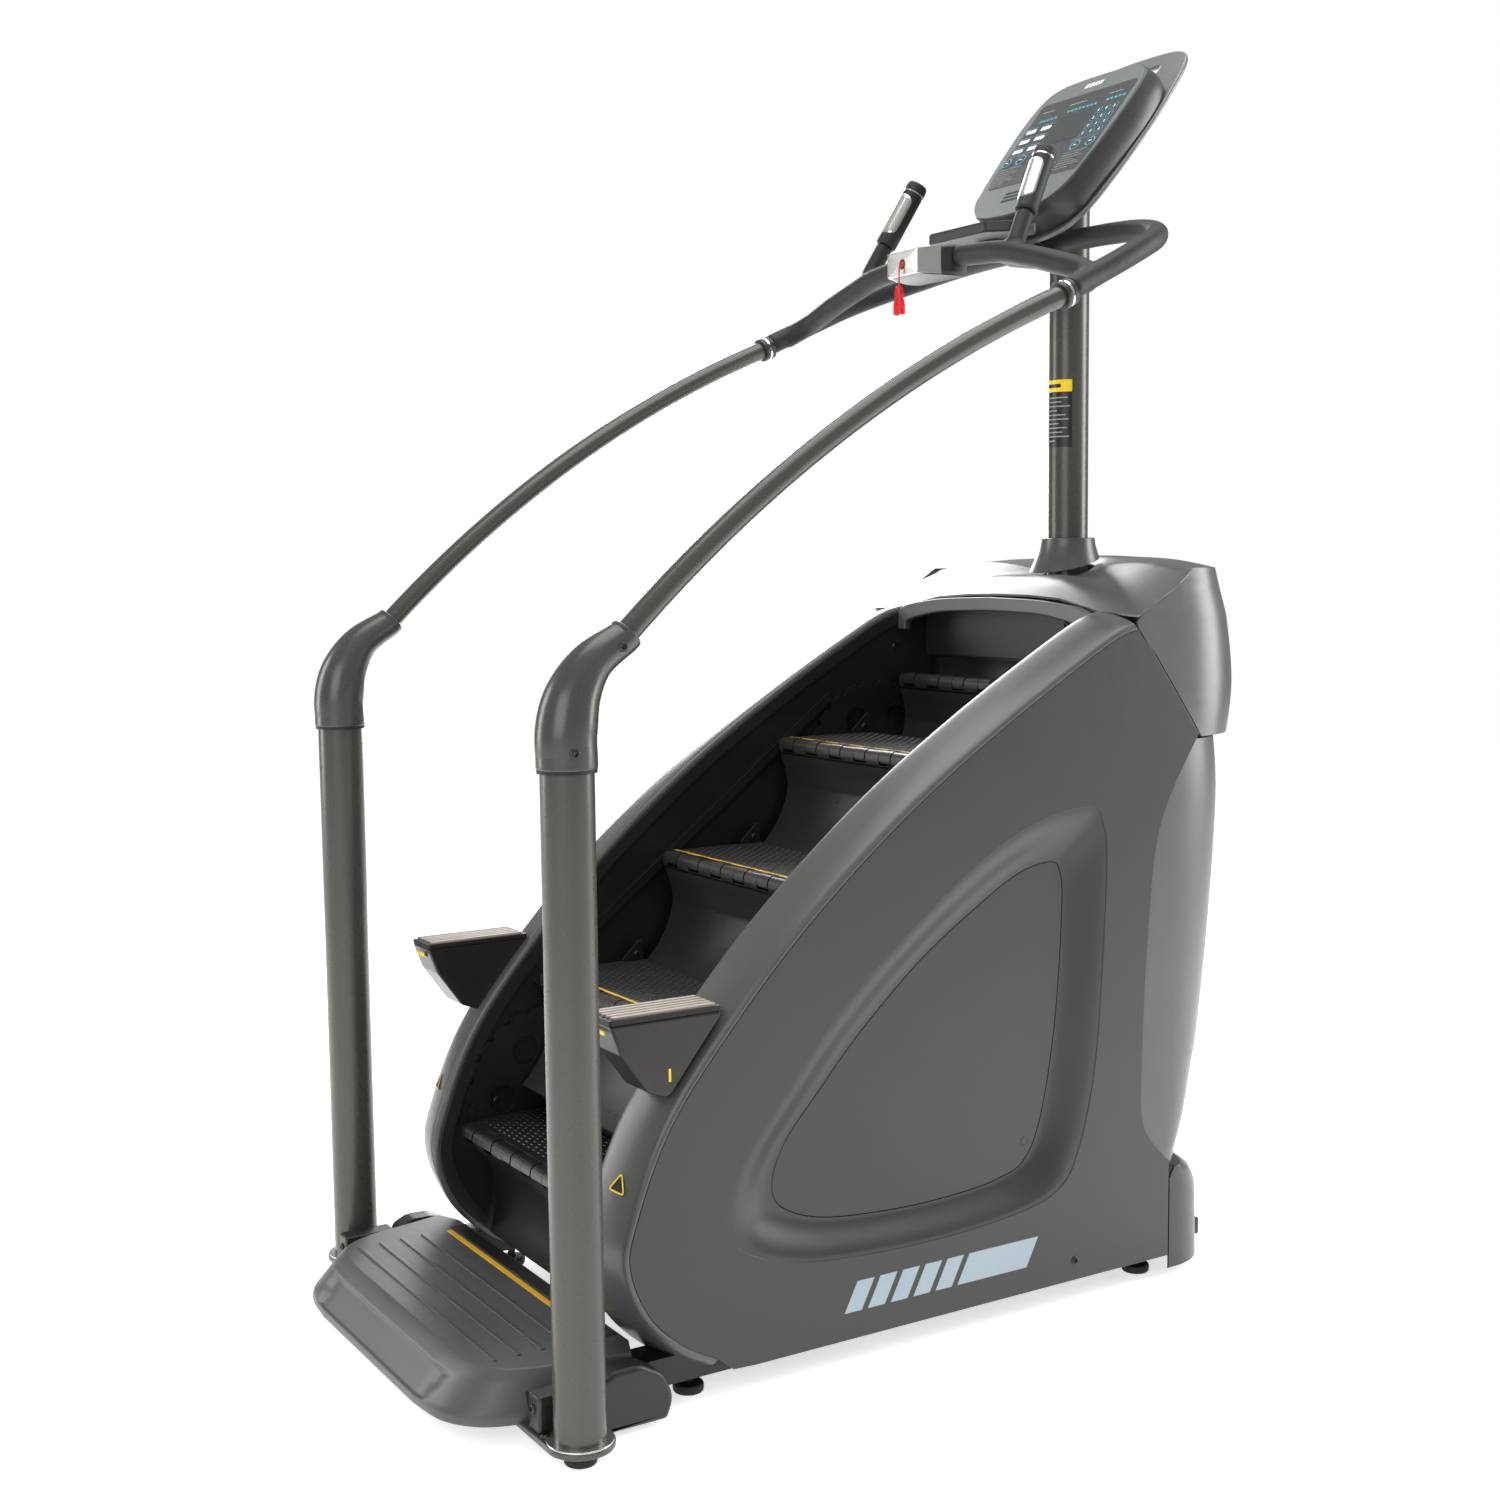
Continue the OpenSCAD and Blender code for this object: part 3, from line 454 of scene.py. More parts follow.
BAR = material("bar_rubber", lin(34, 34, 35), 0.55, 0.0, (2200, 0.3), 0.08, 0.06, spec=0.35)
STEEL = material("bright_steel", lin(205, 204, 200), 0.25, 0.9, (300, 0.04), 0.03, 0.03)
CHROME = material("chrome", lin(225, 225, 225), 0.1, 1.0, (800, 0.02), 0.03, 0.04)
BOLT = material("bolt_steel", lin(62, 62, 62), 0.35, 0.8, (1500, 0.08), 0.1, 0.08)
DARK = material("socket_dark", lin(12, 12, 12), 0.6, 0.0, (900, 0.1), 0.1, 0.05)
TREAD = material("tread_plastic", lin(30, 29, 28), 0.38, 0.0, (900, 0.2), 0.1, 0.08, edge=0.25)
RISER = material("riser_plastic", lin(37, 35, 33), 0.3, 0.1, (1200, 0.12), 0.07, 0.07, edge=0.2)
YELLOW = material("yellow_line", lin(226, 174, 32), 0.5, 0.0, (1200, 0.2), 0.06, 0.06)
LABEL_Y = material("label_yellow", lin(240, 205, 20), 0.4, 0.0, (900, 0.05), 0.03, 0.04)
LABEL_K = material("label_black", lin(20, 20, 20), 0.35, 0.0, (900, 0.05), 0.05, 0.04)
PRINT = material("print_grey", lin(150, 150, 148), 0.5, 0.0, (900, 0.05), 0.04, 0.04)
STRIPE = material("stripe_blue_grey", lin(158, 172, 182), 0.42, 0.0, (1200, 0.06), 0.04, 0.05)
FACE = material("face_film", lin(92, 97, 97), 0.42, 0.05, (2600, 0.12), 0.03, 0.05)
WINDOW = material("window_film", lin(46, 50, 51), 0.28, 0.0, (2600, 0.08), 0.04, 0.05)
DISPLAY = material("display_film", lin(52, 56, 57), 0.16, 0.0, (1500, 0.03), 0.04, 0.03)
TEAL = material("teal_print", lin(62, 150, 165), 0.45, 0.0, (1500, 0.06), 0.04, 0.05)
WHITE = material("white_print", lin(225, 228, 228), 0.5, 0.0, (1500, 0.06), 0.03, 0.05)
HOUSING = material("housing_plastic", lin(48, 48, 48), 0.36, 0.0, (1500, 0.12), 0.07, 0.06)
BACKP = material("console_back_paint", lin(110, 110, 108), 0.33, 0.3, (1500, 0.08), 0.05, 0.05)
RED = material("cord_red", lin(205, 20, 32), 0.5, 0.0, (2500, 0.4), 0.1, 0.08)
CLIP = material("clip_red", lin(225, 30, 42), 0.15, 0.0, (900, 0.06), 0.06, 0.05, trans=0.45)
PAD = material("pad_rubber", lin(150, 140, 130), 0.6, 0.0, (1200, 0.3), 0.06, 0.07)
WHEEL = material("wheel_plastic", lin(95, 95, 92), 0.45, 0.0, (1200, 0.15), 0.08, 0.07, edge=0.2)
CAST = material("cast_metal", lin(60, 60, 60), 0.5, 0.6, (600, 0.35), 0.12, 0.1, edge=0.3)


# ---------------------------------------------------------------- feet, wheels, base frame
POST_X, POST_Y = 461, -643

s = Shape()
for x, y, top in ((332, -388, 34.5), (332, 560, 34.5), (POST_X, POST_Y, 24.5)):
    put = disc_put((x, y, 0), (0, 0, 1))
    s.join(lathe([(20, 0.2), (23, 0.2), (24.5, 2), (25, 6), (25, 11), (23.5, 13.6), (20, 14.4), (7, 14.6),
                  (7, top)], put, 40))
piece("feet_look", s.both(), RUBBER, ["levelling_feet"])

for side, name in ((1, "right"), (-1, "left")):
    put = lambda u, v, h, q=side: (q * h, 690 + u, 60 + v)
    prof = [(6.2, 285), (14, 285), (16, 287), (29, 287), (31, 285), (35, 285), (36.6, 286.5), (37, 289),
            (37, 307), (36.6, 309.5), (35, 311), (31, 311), (29, 309), (24, 305), (16, 305), (14, 309),
            (6.2, 309)]
    rings = [[put(u, v, h) for u, v in circle(0, 0, r, 48)] for r, h in prof]
    s = loft(rings, loop=True, caps=(False, False))
    piece("wheel_look_" + name, s, WHEEL, ["wheel_" + name], name + "_wheel")

# ---------------------------------------------------------------- platform
bot_pts = [(200, -800), (285, -788), (340, -748), (366, -685), (374, -625)]
top_pts = [(200, -738), (268, -731), (318, -705), (345, -655), (357, -600)]
FRONT_X = [i * 5.0 for i in range(40)]
bot_half = [(x, -800) for x in FRONT_X] + curve(bot_pts, 8) + [(379, -512), (330, -492)]
top_half = [(x, -738) for x in FRONT_X] + curve(top_pts, 8) + [(376, -512), (330, -492)]


def ease(t):
    t = max(0.0, min(1.0, t))
    return t * t * (3 - 2 * t)


def plat_ring(w, z, inset=0.0):
    half = [(a[0] + (b[0] - a[0]) * w, a[1] + (b[1] - a[1]) * w) for a, b in zip(bot_half, top_half)]
    ring = half + [(-x, y) for x, y in reversed(half[1:])]
    if inset:
        ring = offset(ring, -inset)
    out = []
    for x, y in ring:
        side = (232 + 30 * w - abs(x)) / 7.0
        deep = 6.0 * ease(side) * ease((z - 44) / 5.0) * ease((88 - z) / 5.0) if y < -735 else 0
        out.append((x, y + deep * 0.7, z - deep * 0.6))
    return out


slope_rows = [(0.06 + 0.6 * i / 22, 51 + 39 * i / 22, 0) for i in range(23)]
levels = [(0.02, 30.5, 3), (0.0, 31.5, 1), (0, 34, 0), (0, 42, 0), (0.012, 45, 0), (0.03, 48, 0)]
levels += slope_rows + [(0.8, 97.2, 0), (0.88, 100.4, 0), (0.94, 102.7, 0), (0.98, 104, 0), (1.0, 104.7, 0.6),
                        (1.0, 104.9, 3)]
rings = [plat_ring(w, z, i) for w, z, i in levels]
s = loft(rings, caps=(False, False))
s.join(cap(rings[-1]))
# underside lip, turned inward
under = [plat_ring(0.02, 30.5, 3), plat_ring(0.02, 30.5, 9), plat_ring(0.3, 70, 12), plat_ring(0.9, 97, 14)]
s.join(loft(under, caps=(False, False)))
s.join(cap(under[-1]))
for y in (-700, -660, -620, -580):
    out = rounded([(-292, y - 3.5), (292, y - 3.5), (292, y + 3.5), (-292, y + 3.5)], 3.4, 5)
    s.join(film(out, 104, 107.2, on_z, 1.4), 1)
s.join(film([(-285, -536), (285, -536), (285, -526), (-285, -526)], 104.5, 106, on_z, 0.6), 2)
s.join(film([(-300, -522), (300, -522), (300, -496), (-300, -496)], 104.5, 106.2, on_z, 0.6), 3)
piece("platform_look", s, [PLATFORM, RIB, YELLOW, BLACK], ["platform_cover"], sharp=50)

s = Shape()
out = rounded([(-592, 8), (-474, 8), (-462, 40), (-478, 80), (-520, 104), (-562, 104), (-592, 90)],
              [4, 10, 40, 40, 40, 30, 20], 8)
s.join(slab(out, 381.5, 423.5, on_x, r=9, r0=2))
piece("ankle_look", s.both(), BLACK, ["ankle_covers"])

# ---------------------------------------------------------------- posts
s = Shape()
put = disc_put((POST_X, POST_Y, 0), (0, 0, 1))
s.join(lathe([(36, 34), (38.2, 34.5), (39, 36), (39, 300), (39, 600), (39, 900), (39, 1015.5),
              (38.4, 1016.5), (36, 1017)], put, 72), 0)
round_end = [math.radians(a) for a in range(-84, 86, 6)]
plate = [(330, -695), (POST_X, -695)]
plate += [(POST_X + 52 * math.cos(a), POST_Y + 52 * math.sin(a)) for a in round_end]
plate += [(POST_X, -591), (330, -591)]
s.join(slab(plate, 25, 35, on_z, r=2.2), 1)
s.join(film(circle(POST_X, POST_Y, 50.5, 64), 35, 37.2, on_z, 1.5), 2)
for x in (385, 427):
    s.join(hex_bolt((x, -683, 35), (0, 0, 1), 8, 5, 3, 4))
# bracket block between the platform and the post
s.join(block(384, 421, -690, -596, 36, 92, 4, 6), 5)
s.join(hex_bolt((403, -690, 70), (0, -1, 0), 7, 4, 3, 4))
piece("posts_look", s.both(), [TUBE, TUBE, STEEL, BOLT, DARK, BLACK], ["posts"])

# ---------------------------------------------------------------- elbows and handrails
ARCH_R, RAIL_X = 2450.0, 456
RAIL_A, RAIL_B = Vector((-541, 1206)), Vector((262, 1727))
chord = RAIL_B - RAIL_A
rail_half = math.asin(chord.length / 2 / ARCH_R)
slope = math.atan2(chord.y, chord.x)
mid = (RAIL_A + RAIL_B) / 2
down = slope - math.pi / 2
centre = mid + Vector((math.cos(down), math.sin(down))) * (ARCH_R * math.cos(rail_half))


def rail_point(t):
    a = slope + math.pi / 2 + rail_half - 2 * rail_half * t
    return (RAIL_X, centre.x + ARCH_R * math.cos(a), centre.y + ARCH_R * math.sin(a))


rail_in = Vector((math.cos(slope + rail_half), math.sin(slope + rail_half)))
rail_out = Vector((math.cos(slope - rail_half), math.sin(slope - rail_half)))
s = tube([rail_point(i / 72) for i in range(73)], 17.5, 40)
piece("handrail_look", s.both(), TUBE, ["handrails"])

ctrl = [(POST_X, POST_Y, 1035), (POST_X, POST_Y, 1070), (460, -631, 1120), (459, -600, 1166),
        (RAIL_X, RAIL_A.x - 10 * rail_in.x, RAIL_A.y - 10 * rail_in.y)]
path = [(POST_X, POST_Y, 1017), (POST_X, POST_Y, 1022)] + curve(ctrl, 10) + [(RAIL_X, RAIL_A.x, RAIL_A.y)]


def elbow_r(t):
    return 44 - 18.5 * ease((t - 0.3) / 0.7)


s = tube(path, elbow_r, 56, 2.2)
put = disc_put((POST_X, POST_Y, 1017), (0, 0, 1))
s.join(lathe([(40, -5), (43.2, -4.6), (43.2, 0.2), (40, 0.2)], put, 56), 3)
a = math.radians(-11)
ca, sa = math.cos(a), math.sin(a)
s.join(hex_bolt((POST_X + 43.4 * ca, POST_Y + 43.4 * sa, 1042), (ca, sa, 0), 8, 3, 1, 2))
s.join(hex_bolt((484.5, -562, 1187), (0.95, -0.25, -0.1), 7, 3, 1, 2))
piece("elbows_look", s.both(), [ELBOW, BOLT, DARK, DARK], ["elbow_brackets"])

s = Shape()
p0 = Vector((RAIL_X, RAIL_B.x, RAIL_B.y))
axis = Vector((0, rail_out.x, rail_out.y))
put = disc_put(p0, axis)
s.join(lathe([(17.7, -2), (22, -2), (23, -0.6), (23, 6.2), (22.4, 7)], put, 48), 0)
s.join(lathe([(22, 7), (23.2, 7.6), (23.2, 12), (22, 12.6)], put, 48), 1)
s.join(lathe([(22.4, 12.6), (23, 13.2), (23, 21), (22, 22), (18, 22)], put, 48), 0)
piece("collars_look", s.both(), [BLACK, CHROME], ["rail_collars"])

# ---------------------------------------------------------------- handlebar
loop_pts = [(455, 283, 1739), (446, 345, 1768), (440, 405, 1796), (428, 462, 1822), (400, 520, 1846),
            (345, 572, 1868), (260, 606, 1886), (150, 617, 1894), (0, 617, 1896)]
branch_pts = [(452, 318, 1752), (412, 352, 1779), (335, 354, 1804), (255, 356, 1826), (190, 356, 1841),
              (95, 353, 1848), (76, 353, 1848)]
GRIP_BASE, SLEEVE, GRIP_TOP = Vector((220.7, 362, 1850)), Vector((210, 394, 1909)), Vector((189, 457, 2025))
s = Shape()
s.join(tube(curve(loop_pts, 10), 20, 36))
s.join(tube(curve(branch_pts, 8), 20, 36))
s.join(tube([tuple(GRIP_BASE.lerp(SLEEVE, i / 6)) for i in range(7)], 16.5, 32))
bar = piece("handlebar_look", s.both(), BAR, ["handlebar"], weighted=False)
m = bar.modifiers.new("skin", "REMESH")
m.mode = "VOXEL"
m.voxel_size = 0.0035
m.use_smooth_shade = True
m = bar.modifiers.new("soften", "SMOOTH")
m.factor = 0.5
m.iterations = 14

axis = (GRIP_TOP - SLEEVE).normalized()
long = (GRIP_TOP - SLEEVE).length
put = disc_put(SLEEVE, axis)
s = Shape()
s.join(lathe([(15, -1), (18, -1), (19.6, 0.6), (20, 3), (20, long * 0.84)], put, 56), 0)
s.join(lathe([(19, long * 0.84), (20.6, long * 0.845), (20.6, long * 0.865), (19, long * 0.87)], put, 56), 1)
s.join(lathe([(20.2, long * 0.87), (20.4, long * 0.9), (20.2, long * 0.95), (19.4, long * 0.985),
              (17.6, long * 1.0), (14, long * 1.006)], put, 56), 0)
piece("grips_look", s.both(), [BAR, CHROME], ["grip_sleeves"])

front = Vector((0, -1, 0))
front = (front - axis * front.dot(axis)).normalized()
sidev = axis.cross(front)
rows = []
ZN, AN = 26, 18
for iz in range(ZN + 1):
    t = iz / ZN
    row = []
    for ia in range(AN + 1):
        w = -1 + 2 * ia / AN
        q = math.radians(72) * w
        sag = 0.10 * (1 - math.sqrt(max(0, 1 - w * w)))
        top_t, low_t = 0.78 - sag, 0.14 + sag
        h = long * (low_t + (top_t - low_t) * t)
        r = 20.3 if ia in (0, AN) or iz in (0, ZN) else 21.2
        row.append(tuple(SLEEVE + axis * h + (front * math.cos(q) + sidev * math.sin(q)) * r))
    rows.append(row)
s = loft(rows, closed=False)
piece("plates_look", s.both(), STEEL, ["pulse_plates"])

# ---------------------------------------------------------------- stop box, cord and clip
s = Shape()


def box_ring(y, w, z0, z1, c):
    out = rounded([(-w, z0), (w, z0), (w, z1), (-w, z1)], c, 5)
    return [(x, y, z) for x, z in out]


s.join(loft([box_ring(y, w, a, b, c) for y, w, a, b, c in (
    (290, 46, 1819, 1863, 4), (300, 52, 1817, 1865, 5), (335, 72, 1814.5, 1869, 7), (345, 74, 1814, 1870, 8),
    (368, 74, 1814, 1870, 8), (375, 69, 1818, 1866, 6))]), 0)
s.join(loft([box_ring(y, w, a, b, c) for y, w, a, b, c in (
    (291, 45.5, 1819.5, 1862.5, 4), (283, 45.5, 1819, 1863, 4), (280.6, 44.5, 1820, 1862, 4),
    (280, 42, 1822, 1860, 3))]), 1)
wing = [(46, 281, 1819.5), (66, 318.1, 1816.7), (66, 318.1, 1866.7), (46, 281, 1862.5)]
for k in (1, -1):
    v = [(k * x, y - 0.6, z) for x, y, z in wing] + [(k * (x - 2), y + 3, z) for x, y, z in wing]
    s.add(v, [(0, 1, 2, 3), (7, 6, 5, 4), (0, 4, 5, 1), (1, 5, 6, 2), (2, 6, 7, 3), (3, 7, 4, 0)], 1)
put = disc_put((0, 280, 1839), (0, -1, 0))
s.join(lathe([(5.4, -0.5), (9, -0.5), (9, 0.4), (8, 0.9), (6, 0.9), (5.4, 0.2)], put, 40), 0)
piece("stop_box_look", s, [BLACK, STEEL], ["stop_box"])

route = curve([(0, 279, 1839), (0, 274, 1834), (0, 273, 1824), (0, 273, 1812), (0, 273, 1800)], 8)
line = piece("cord_line", tube(route, 1.5, 16), RED, ["key_cord"])
put = disc_put((0, 280, 1839), (0, -1, 0))
plug = piece("cord_plug", lathe([(5, -6), (5, 0.2), (4.4, 0.8), (1.6, 1.0)], put, 32), RED)
s = Shape()
for k in (1, -1):
    leg = [(1, 1776), (9, 1776), (12, 1760), (11, 1748), (5.5, 1748), (4, 1762)]
    leg = rounded([(k * x, z) for x, z in leg], 2, 3)
    s.join(slab(leg, 267.5, 278.5, on_y, r=1.5))
knob = rounded([(-7, 1774), (7, 1774), (9, 1786), (4, 1800), (-4, 1800), (-9, 1786)], 3, 4)
s.join(slab(knob, 268, 278, on_y, r=2))
s.join(tube([(-7, 273, 1789), (7, 273, 1789)], 3.5, 20, 1))
clip = piece("clip_look", s, CLIP, ["key_clip"])

# ---------------------------------------------------------------- column and boot
COLUMN_Y = 676

s = Shape()
put = disc_put((0, COLUMN_Y, 0), (0, 0, 1))
s.join(lathe([(39, 1160), (39, 1300), (39, 1600), (39, 1850), (39, 1990)], put, 72), 0)


def wrap(a0, a1, z0, z1, r, n=30):
    """Thin patch on the column between two angles and two heights."""
    angles = [math.radians(a0 + (a1 - a0) * i / n) for i in range(n + 1)]
    rows = [[(r * math.cos(a), COLUMN_Y + r * math.sin(a), z) for a in angles] for z in (z0, z1)]
    return loft(rows, closed=False)


s.join(wrap(-150, -30, 1517, 1645, 39.15), 1)
s.join(wrap(-150, -30, 1622, 1645, 39.3), 2)
s.join(wrap(-118, -62, 1630, 1637, 39.45, 12), 1)
for i in range(11):
    z = 1612 - i * 8.2
    s.join(wrap(-140, -140 + (98, 80, 104, 66, 92, 100, 72, 96, 84, 102, 60)[i], z - 2.2, z, 39.35, 20), 3)
piece("column_look", s, [TUBE, LABEL_K, LABEL_Y, PRINT], ["column"])


def boot_point(a, t):
    low = 1236 + 0.206 * (COLUMN_Y + 82 * math.sin(a) - 400)
    z = low + (1342 - low) * t
    r = 52.5 + 29.5 * max(0.0, (1342 - z) / 80) ** 1.5
    return (r * math.cos(a), COLUMN_Y + r * math.sin(a), z)


rings = [[boot_point(a, i / 16) for a in turns(72)] for i in range(17)]
rings.append([(x * 0.97, COLUMN_Y + (y - COLUMN_Y) * 0.97, z + 1.2) for x, y, z in rings[-1]])
rings.append([(x * 0.79, COLUMN_Y + (y - COLUMN_Y) * 0.79, z) for x, y, z in rings[-1]])
piece("boot_look", loft(rings, caps=(False, False)), HOOD, ["column_boot"])

# ---------------------------------------------------------------- console
TILT = math.radians(50)
KEY_XS, KEY_S, KEY_HOLE_R = (-118, 122), 156, 12.6


def con(x, v, h):
    """Point of the console's tilted plane: v along its face, h out of it."""
    c, k = math.cos(TILT), math.sin(TILT)
    return (x, 520 + v * c - h * k, 1950 + v * k + h * c)


face_half = [(0, -6), (60, -1), (105, 16), (132, 48), (142, 95), (150, 160), (155, 240), (151, 300),
             (136, 340), (105, 359), (50, 365), (0, 366)]
face_out = mirror_half(curve(face_half, 6))
back_half = [(0, -22), (70, -16), (122, 8), (148, 60), (160, 150), (163, 250), (158, 330), (148, 400),
             (128, 445), (92, 466), (45, 472), (0, 473)]
back_out = mirror_half(curve(back_half, 6))


def scaled(p, k):
    return [(x * k, 180 + (y - 180) * k) for x, y in p]


def printed(x0, x1, y0, y1, corner, h0, h1, r, mat):
    """Raised print or key on the console face."""
    s.join(film(rect(x0, x1, y0, y1, corner), h0, h1, con, r), mat)


s = Shape()
key_holes = [circle(x, KEY_S, KEY_HOLE_R, 40) for x in KEY_XS]
s.join(slab(face_out, -3, 0, con, r=1.4, r0=0.2, holes=key_holes), 0)
window = rounded([(-124, 84), (134, 84), (141, 130), (141, 316), (-131, 316), (-131, 130)],
                 [10, 10, 14, 8, 8, 14], 5)
s.join(slab(window, 0, 0.5, con, r=0.3, r0=0, holes=key_holes), 1)
printed(-42, 62, 182, 262, 3, 0.4, 0.9, 0.3, 2)
for x in (-109, -65):
    for y in (239, 212, 185):
        printed(x - 14, x + 14, y - 5, y + 5, 2, 0.4, 1.2, 0.4, 4)
        printed(x - 16, x + 16, y + 8.4, y + 10, 0.7, 0.4, 0.9, 0.2, 3)
        printed(x - 16, x - 14.4, y + 2, y + 10, 0.7, 0.4, 0.9, 0.2, 3)
for i, x in enumerate((80, 102, 124)):
    for j, y in enumerate((186, 206, 226, 246)):
        printed(x - 8, x + 8, y - 7.4, y + 7.4, 2, 0.4, 1.1, 0.4, 3)
        printed(x - 6.8, x + 6.8, y - 6.2, y + 6.2, 1.6, 1.1, 1.4, 0.2, 2)
        printed(x - 1.2, x + 1.2, y - 3.5, y + 3.5, 0.5, 1.4, 1.7, 0.1, 4)
for x in (-76, 80):
    ring_o, ring_i = circle(x, KEY_S, 13, 40), circle(x, KEY_S, 10.5, 40)
    s.join(film(ring_o, 0.4, 1.2, con, 0.3, holes=[ring_i]), 3)
    s.join(film(circle(x, KEY_S, 9.6, 32), 0.4, 1.3, con, 0.4), 2)
    printed(x - 4, x + 4, KEY_S - 1.2, KEY_S + 1.2, 0.6, 1.3, 1.6, 0.1, 4)
for x0, x1 in ((-127, -54), (58, 134)):
    printed(x0, x1, 172, 173, 0.3, 0.4, 0.8, 0.1, 5)
    for i in range(7):
        y = 138 - 7.0 * i
        w = (0.96, 0.7, 0.9, 0.55, 0.85, 0.94, 0.6)[i]
        printed(x0 + 4, x0 + 4 + (x1 - x0 - 8) * w, y - 1.3, y, 0.4, 0.4, 0.8, 0.1, 5)
for x0, n, y in ((-104, 5, 264), (-28, 8, 272), (82, 5, 274)):
    for i in range(n):
        printed(x0 + 11 * i, x0 + 7 + 11 * i, y - 3, y + 3, 1, 0.4, 0.9, 0.2, 3)
for x, w in ((-96, 34), (-10, 50), (96, 40)):
    printed(x - w / 2, x + w / 2, 290, 292, 0.6, 0.4, 0.8, 0.1, 5)
for i in range(3):
    y = 38 + 10 * i
    printed(-45, 45, y - 2.4, y + 2.4, 2.3, 0, 0.5, 0.2, 6)
for i in range(4):
    q = [(-26 + 13 * i, 334), (-17 + 13 * i, 334), (-13 + 13 * i, 345), (-22 + 13 * i, 345)]
    s.join(film(q, 0, 0.5, con, 0.1), 4)
piece("face_look", s, [FACE, WINDOW, DISPLAY, TEAL, WHITE, PRINT, DARK], ["console_face"])

s = Shape()
rows = []
for k, n in ((0.97, -61), (1.02, -59.5), (1.035, -55), (1.05, -40), (1.045, -26), (1.03, -14), (1.02, -7),
             (1.012, -3.5), (1.004, -2.4), (0.995, -2.4)):
    rows.append([con(x, y, n) for x, y in scaled(face_out, k)])
s.join(loft(rows, caps=(False, False)))
s.join(cap(rows[0])).join(cap(rows[-1]))
piece("housing_look", s, HOUSING, ["console_housing"])

s = Shape()
slot = rect(-70, 70, 408, 434, 12)
s.join(slab(back_out, -69, -60, con, r=3.5, r0=3.5, holes=[slot]), 0)
printed(-120, 120, 60, 330, 20, -69, -74, 2, 0)
for x in (-90, 90):
    for y in (90, 300):
        c = con(x, y, -74)
        s.join(hex_bolt(c, (0, math.sin(TILT), -math.cos(TILT)), 7, 3, 1, 2))
piece("console_back_look", s, [BACKP, BOLT, DARK], ["console_back"])

for name, x in zip(("start", "stop"), KEY_XS):
    s = film(circle(x, KEY_S, 12, 40), -1.2, 1.3, con, 0.5)
    s.join(film(circle(x, KEY_S, 9.6, 32), 1.2, 1.6, con, 0.3), 2)
    printed(x - 4, x + 4, KEY_S - 1.2, KEY_S + 1.2, 0.6, 1.6, 1.9, 0.1, 1)
    piece("key_%s_look" % name, s, [TEAL, WHITE, DISPLAY], ["key_" + name], name + "_key")

s = Shape()
tray_out = rounded([(-85, 403), (85, 403), (118, 440), (118, 500), (-118, 500), (-118, 440)],
                   [20, 20, 18, 10, 10, 18], 8)
tray_in = rounded([(-72, 418), (72, 418), (98, 446), (98, 484), (-98, 484), (-98, 446)],
                  [14, 14, 14, 8, 8, 14], 8)
lv = [(0.9, 1893), (0.97, 1893.6), (1.0, 1896.5), (1.0, 1908), (0.995, 1911.5), (0.985, 1913)]
rows = [[(x * k, 452 + (y - 452) * k, z) for x, y in tray_out] for k, z in lv]
rows += [[(x, y, z) for x, y in tray_in] for z in (1912.8, 1911, 1903)]
s.join(loft(rows, caps=(True, False)))
s.join(cap(rows[-1]))
arm = [(470, 1893), (545, 1893), (562, 1874), (640, 1874), (640, 1856), (552, 1856), (470, 1878)]
s.join(slab(rounded(arm, 5, 4), -28, 28, on_x, r=3))
piece("tray_look", s, BLACK, ["accessory_tray"])

# ---------------------------------------------------------------- side pods
FINE = 12
band = curve([(491, 1191), (421, 1165), (201, 1040), (-5, 904), (-200, 744), (-350, 590), (-458, 453),
              (-519, 315), (-532, 240), (-498, 154), (-436, 92), (-375, 58)], FINE)


def band_at(i, n):
    a, b = band[max(i - 1, 0)], band[min(i + 1, len(band) - 1)]
    t = Vector((b[0] - a[0], b[1] - a[1])).normalized()
    return (band[i][0] + t.y * n, band[i][1] - t.x * n)


def band_off(n):
    return [band_at(i, n) for i in range(len(band))]


recess = closed_curve([(392, 877), (277, 861), (149, 802), (0, 697), (-133, 587), (-250, 457), (-325, 360),
                       (-349, 285), (-315, 228), (-200, 190), (0, 176), (200, 184), (320, 212), (370, 284),
                       (405, 430), (422, 640), (428, 790), (418, 850)], 8)
access = closed_curve([(325, 785), (255, 772), (169, 726), (47, 647), (-75, 543), (-155, 460), (-223, 384),
                       (-249, 320), (-230, 276), (-148, 244), (0, 231), (123, 233), (209, 243), (270, 268),
                       (308, 347), (338, 510), (352, 700), (347, 765)], 8)
rear_seam = curve([(627, 192), (560, 238), (520, 300), (517, 413), (527, 620), (555, 830), (646, 991)], 12)
hood_seam = curve([(616, 1030), (582, 1075), (541, 1130), (496, 1186)], 6)
start = next(i for i, p in enumerate(rear_seam) if p[0] < 582)
pod = band_off(-12) + [(-340, 44), (-300, 42), (582, 42), (582, 222)] \
    + [(y - 1.5, z) for y, z in rear_seam[start + 2:]] + hood_seam
s = Shape()
s.join(film(pod, 390, 394, on_x, 1.6, holes=[recess]), 0)
# scooped wall between the panel and the access panel
rows = []
STEPS = 14
for i in range(STEPS + 1):
    t = i / STEPS
    x = 392.6 - (392.6 - 364.5) * (0.5 - 0.5 * math.cos(math.pi * t)) if t > 0.04 else 392.6
    rows.append([(x, a[0] + (b[0] - a[0]) * t, a[1] + (b[1] - a[1]) * t) for a, b in zip(recess, access)])
s.join(loft(rows, caps=(False, False)), 0)
# the groove walls round the access panel are near-black: painted shade in the gap
rows = [[(x, y, z) for y, z in offset(access, d)] for x, d in ((364.5, 0), (362, 0.2), (358, 0.2))]
s.join(loft(rows, caps=(False, False)), 2)
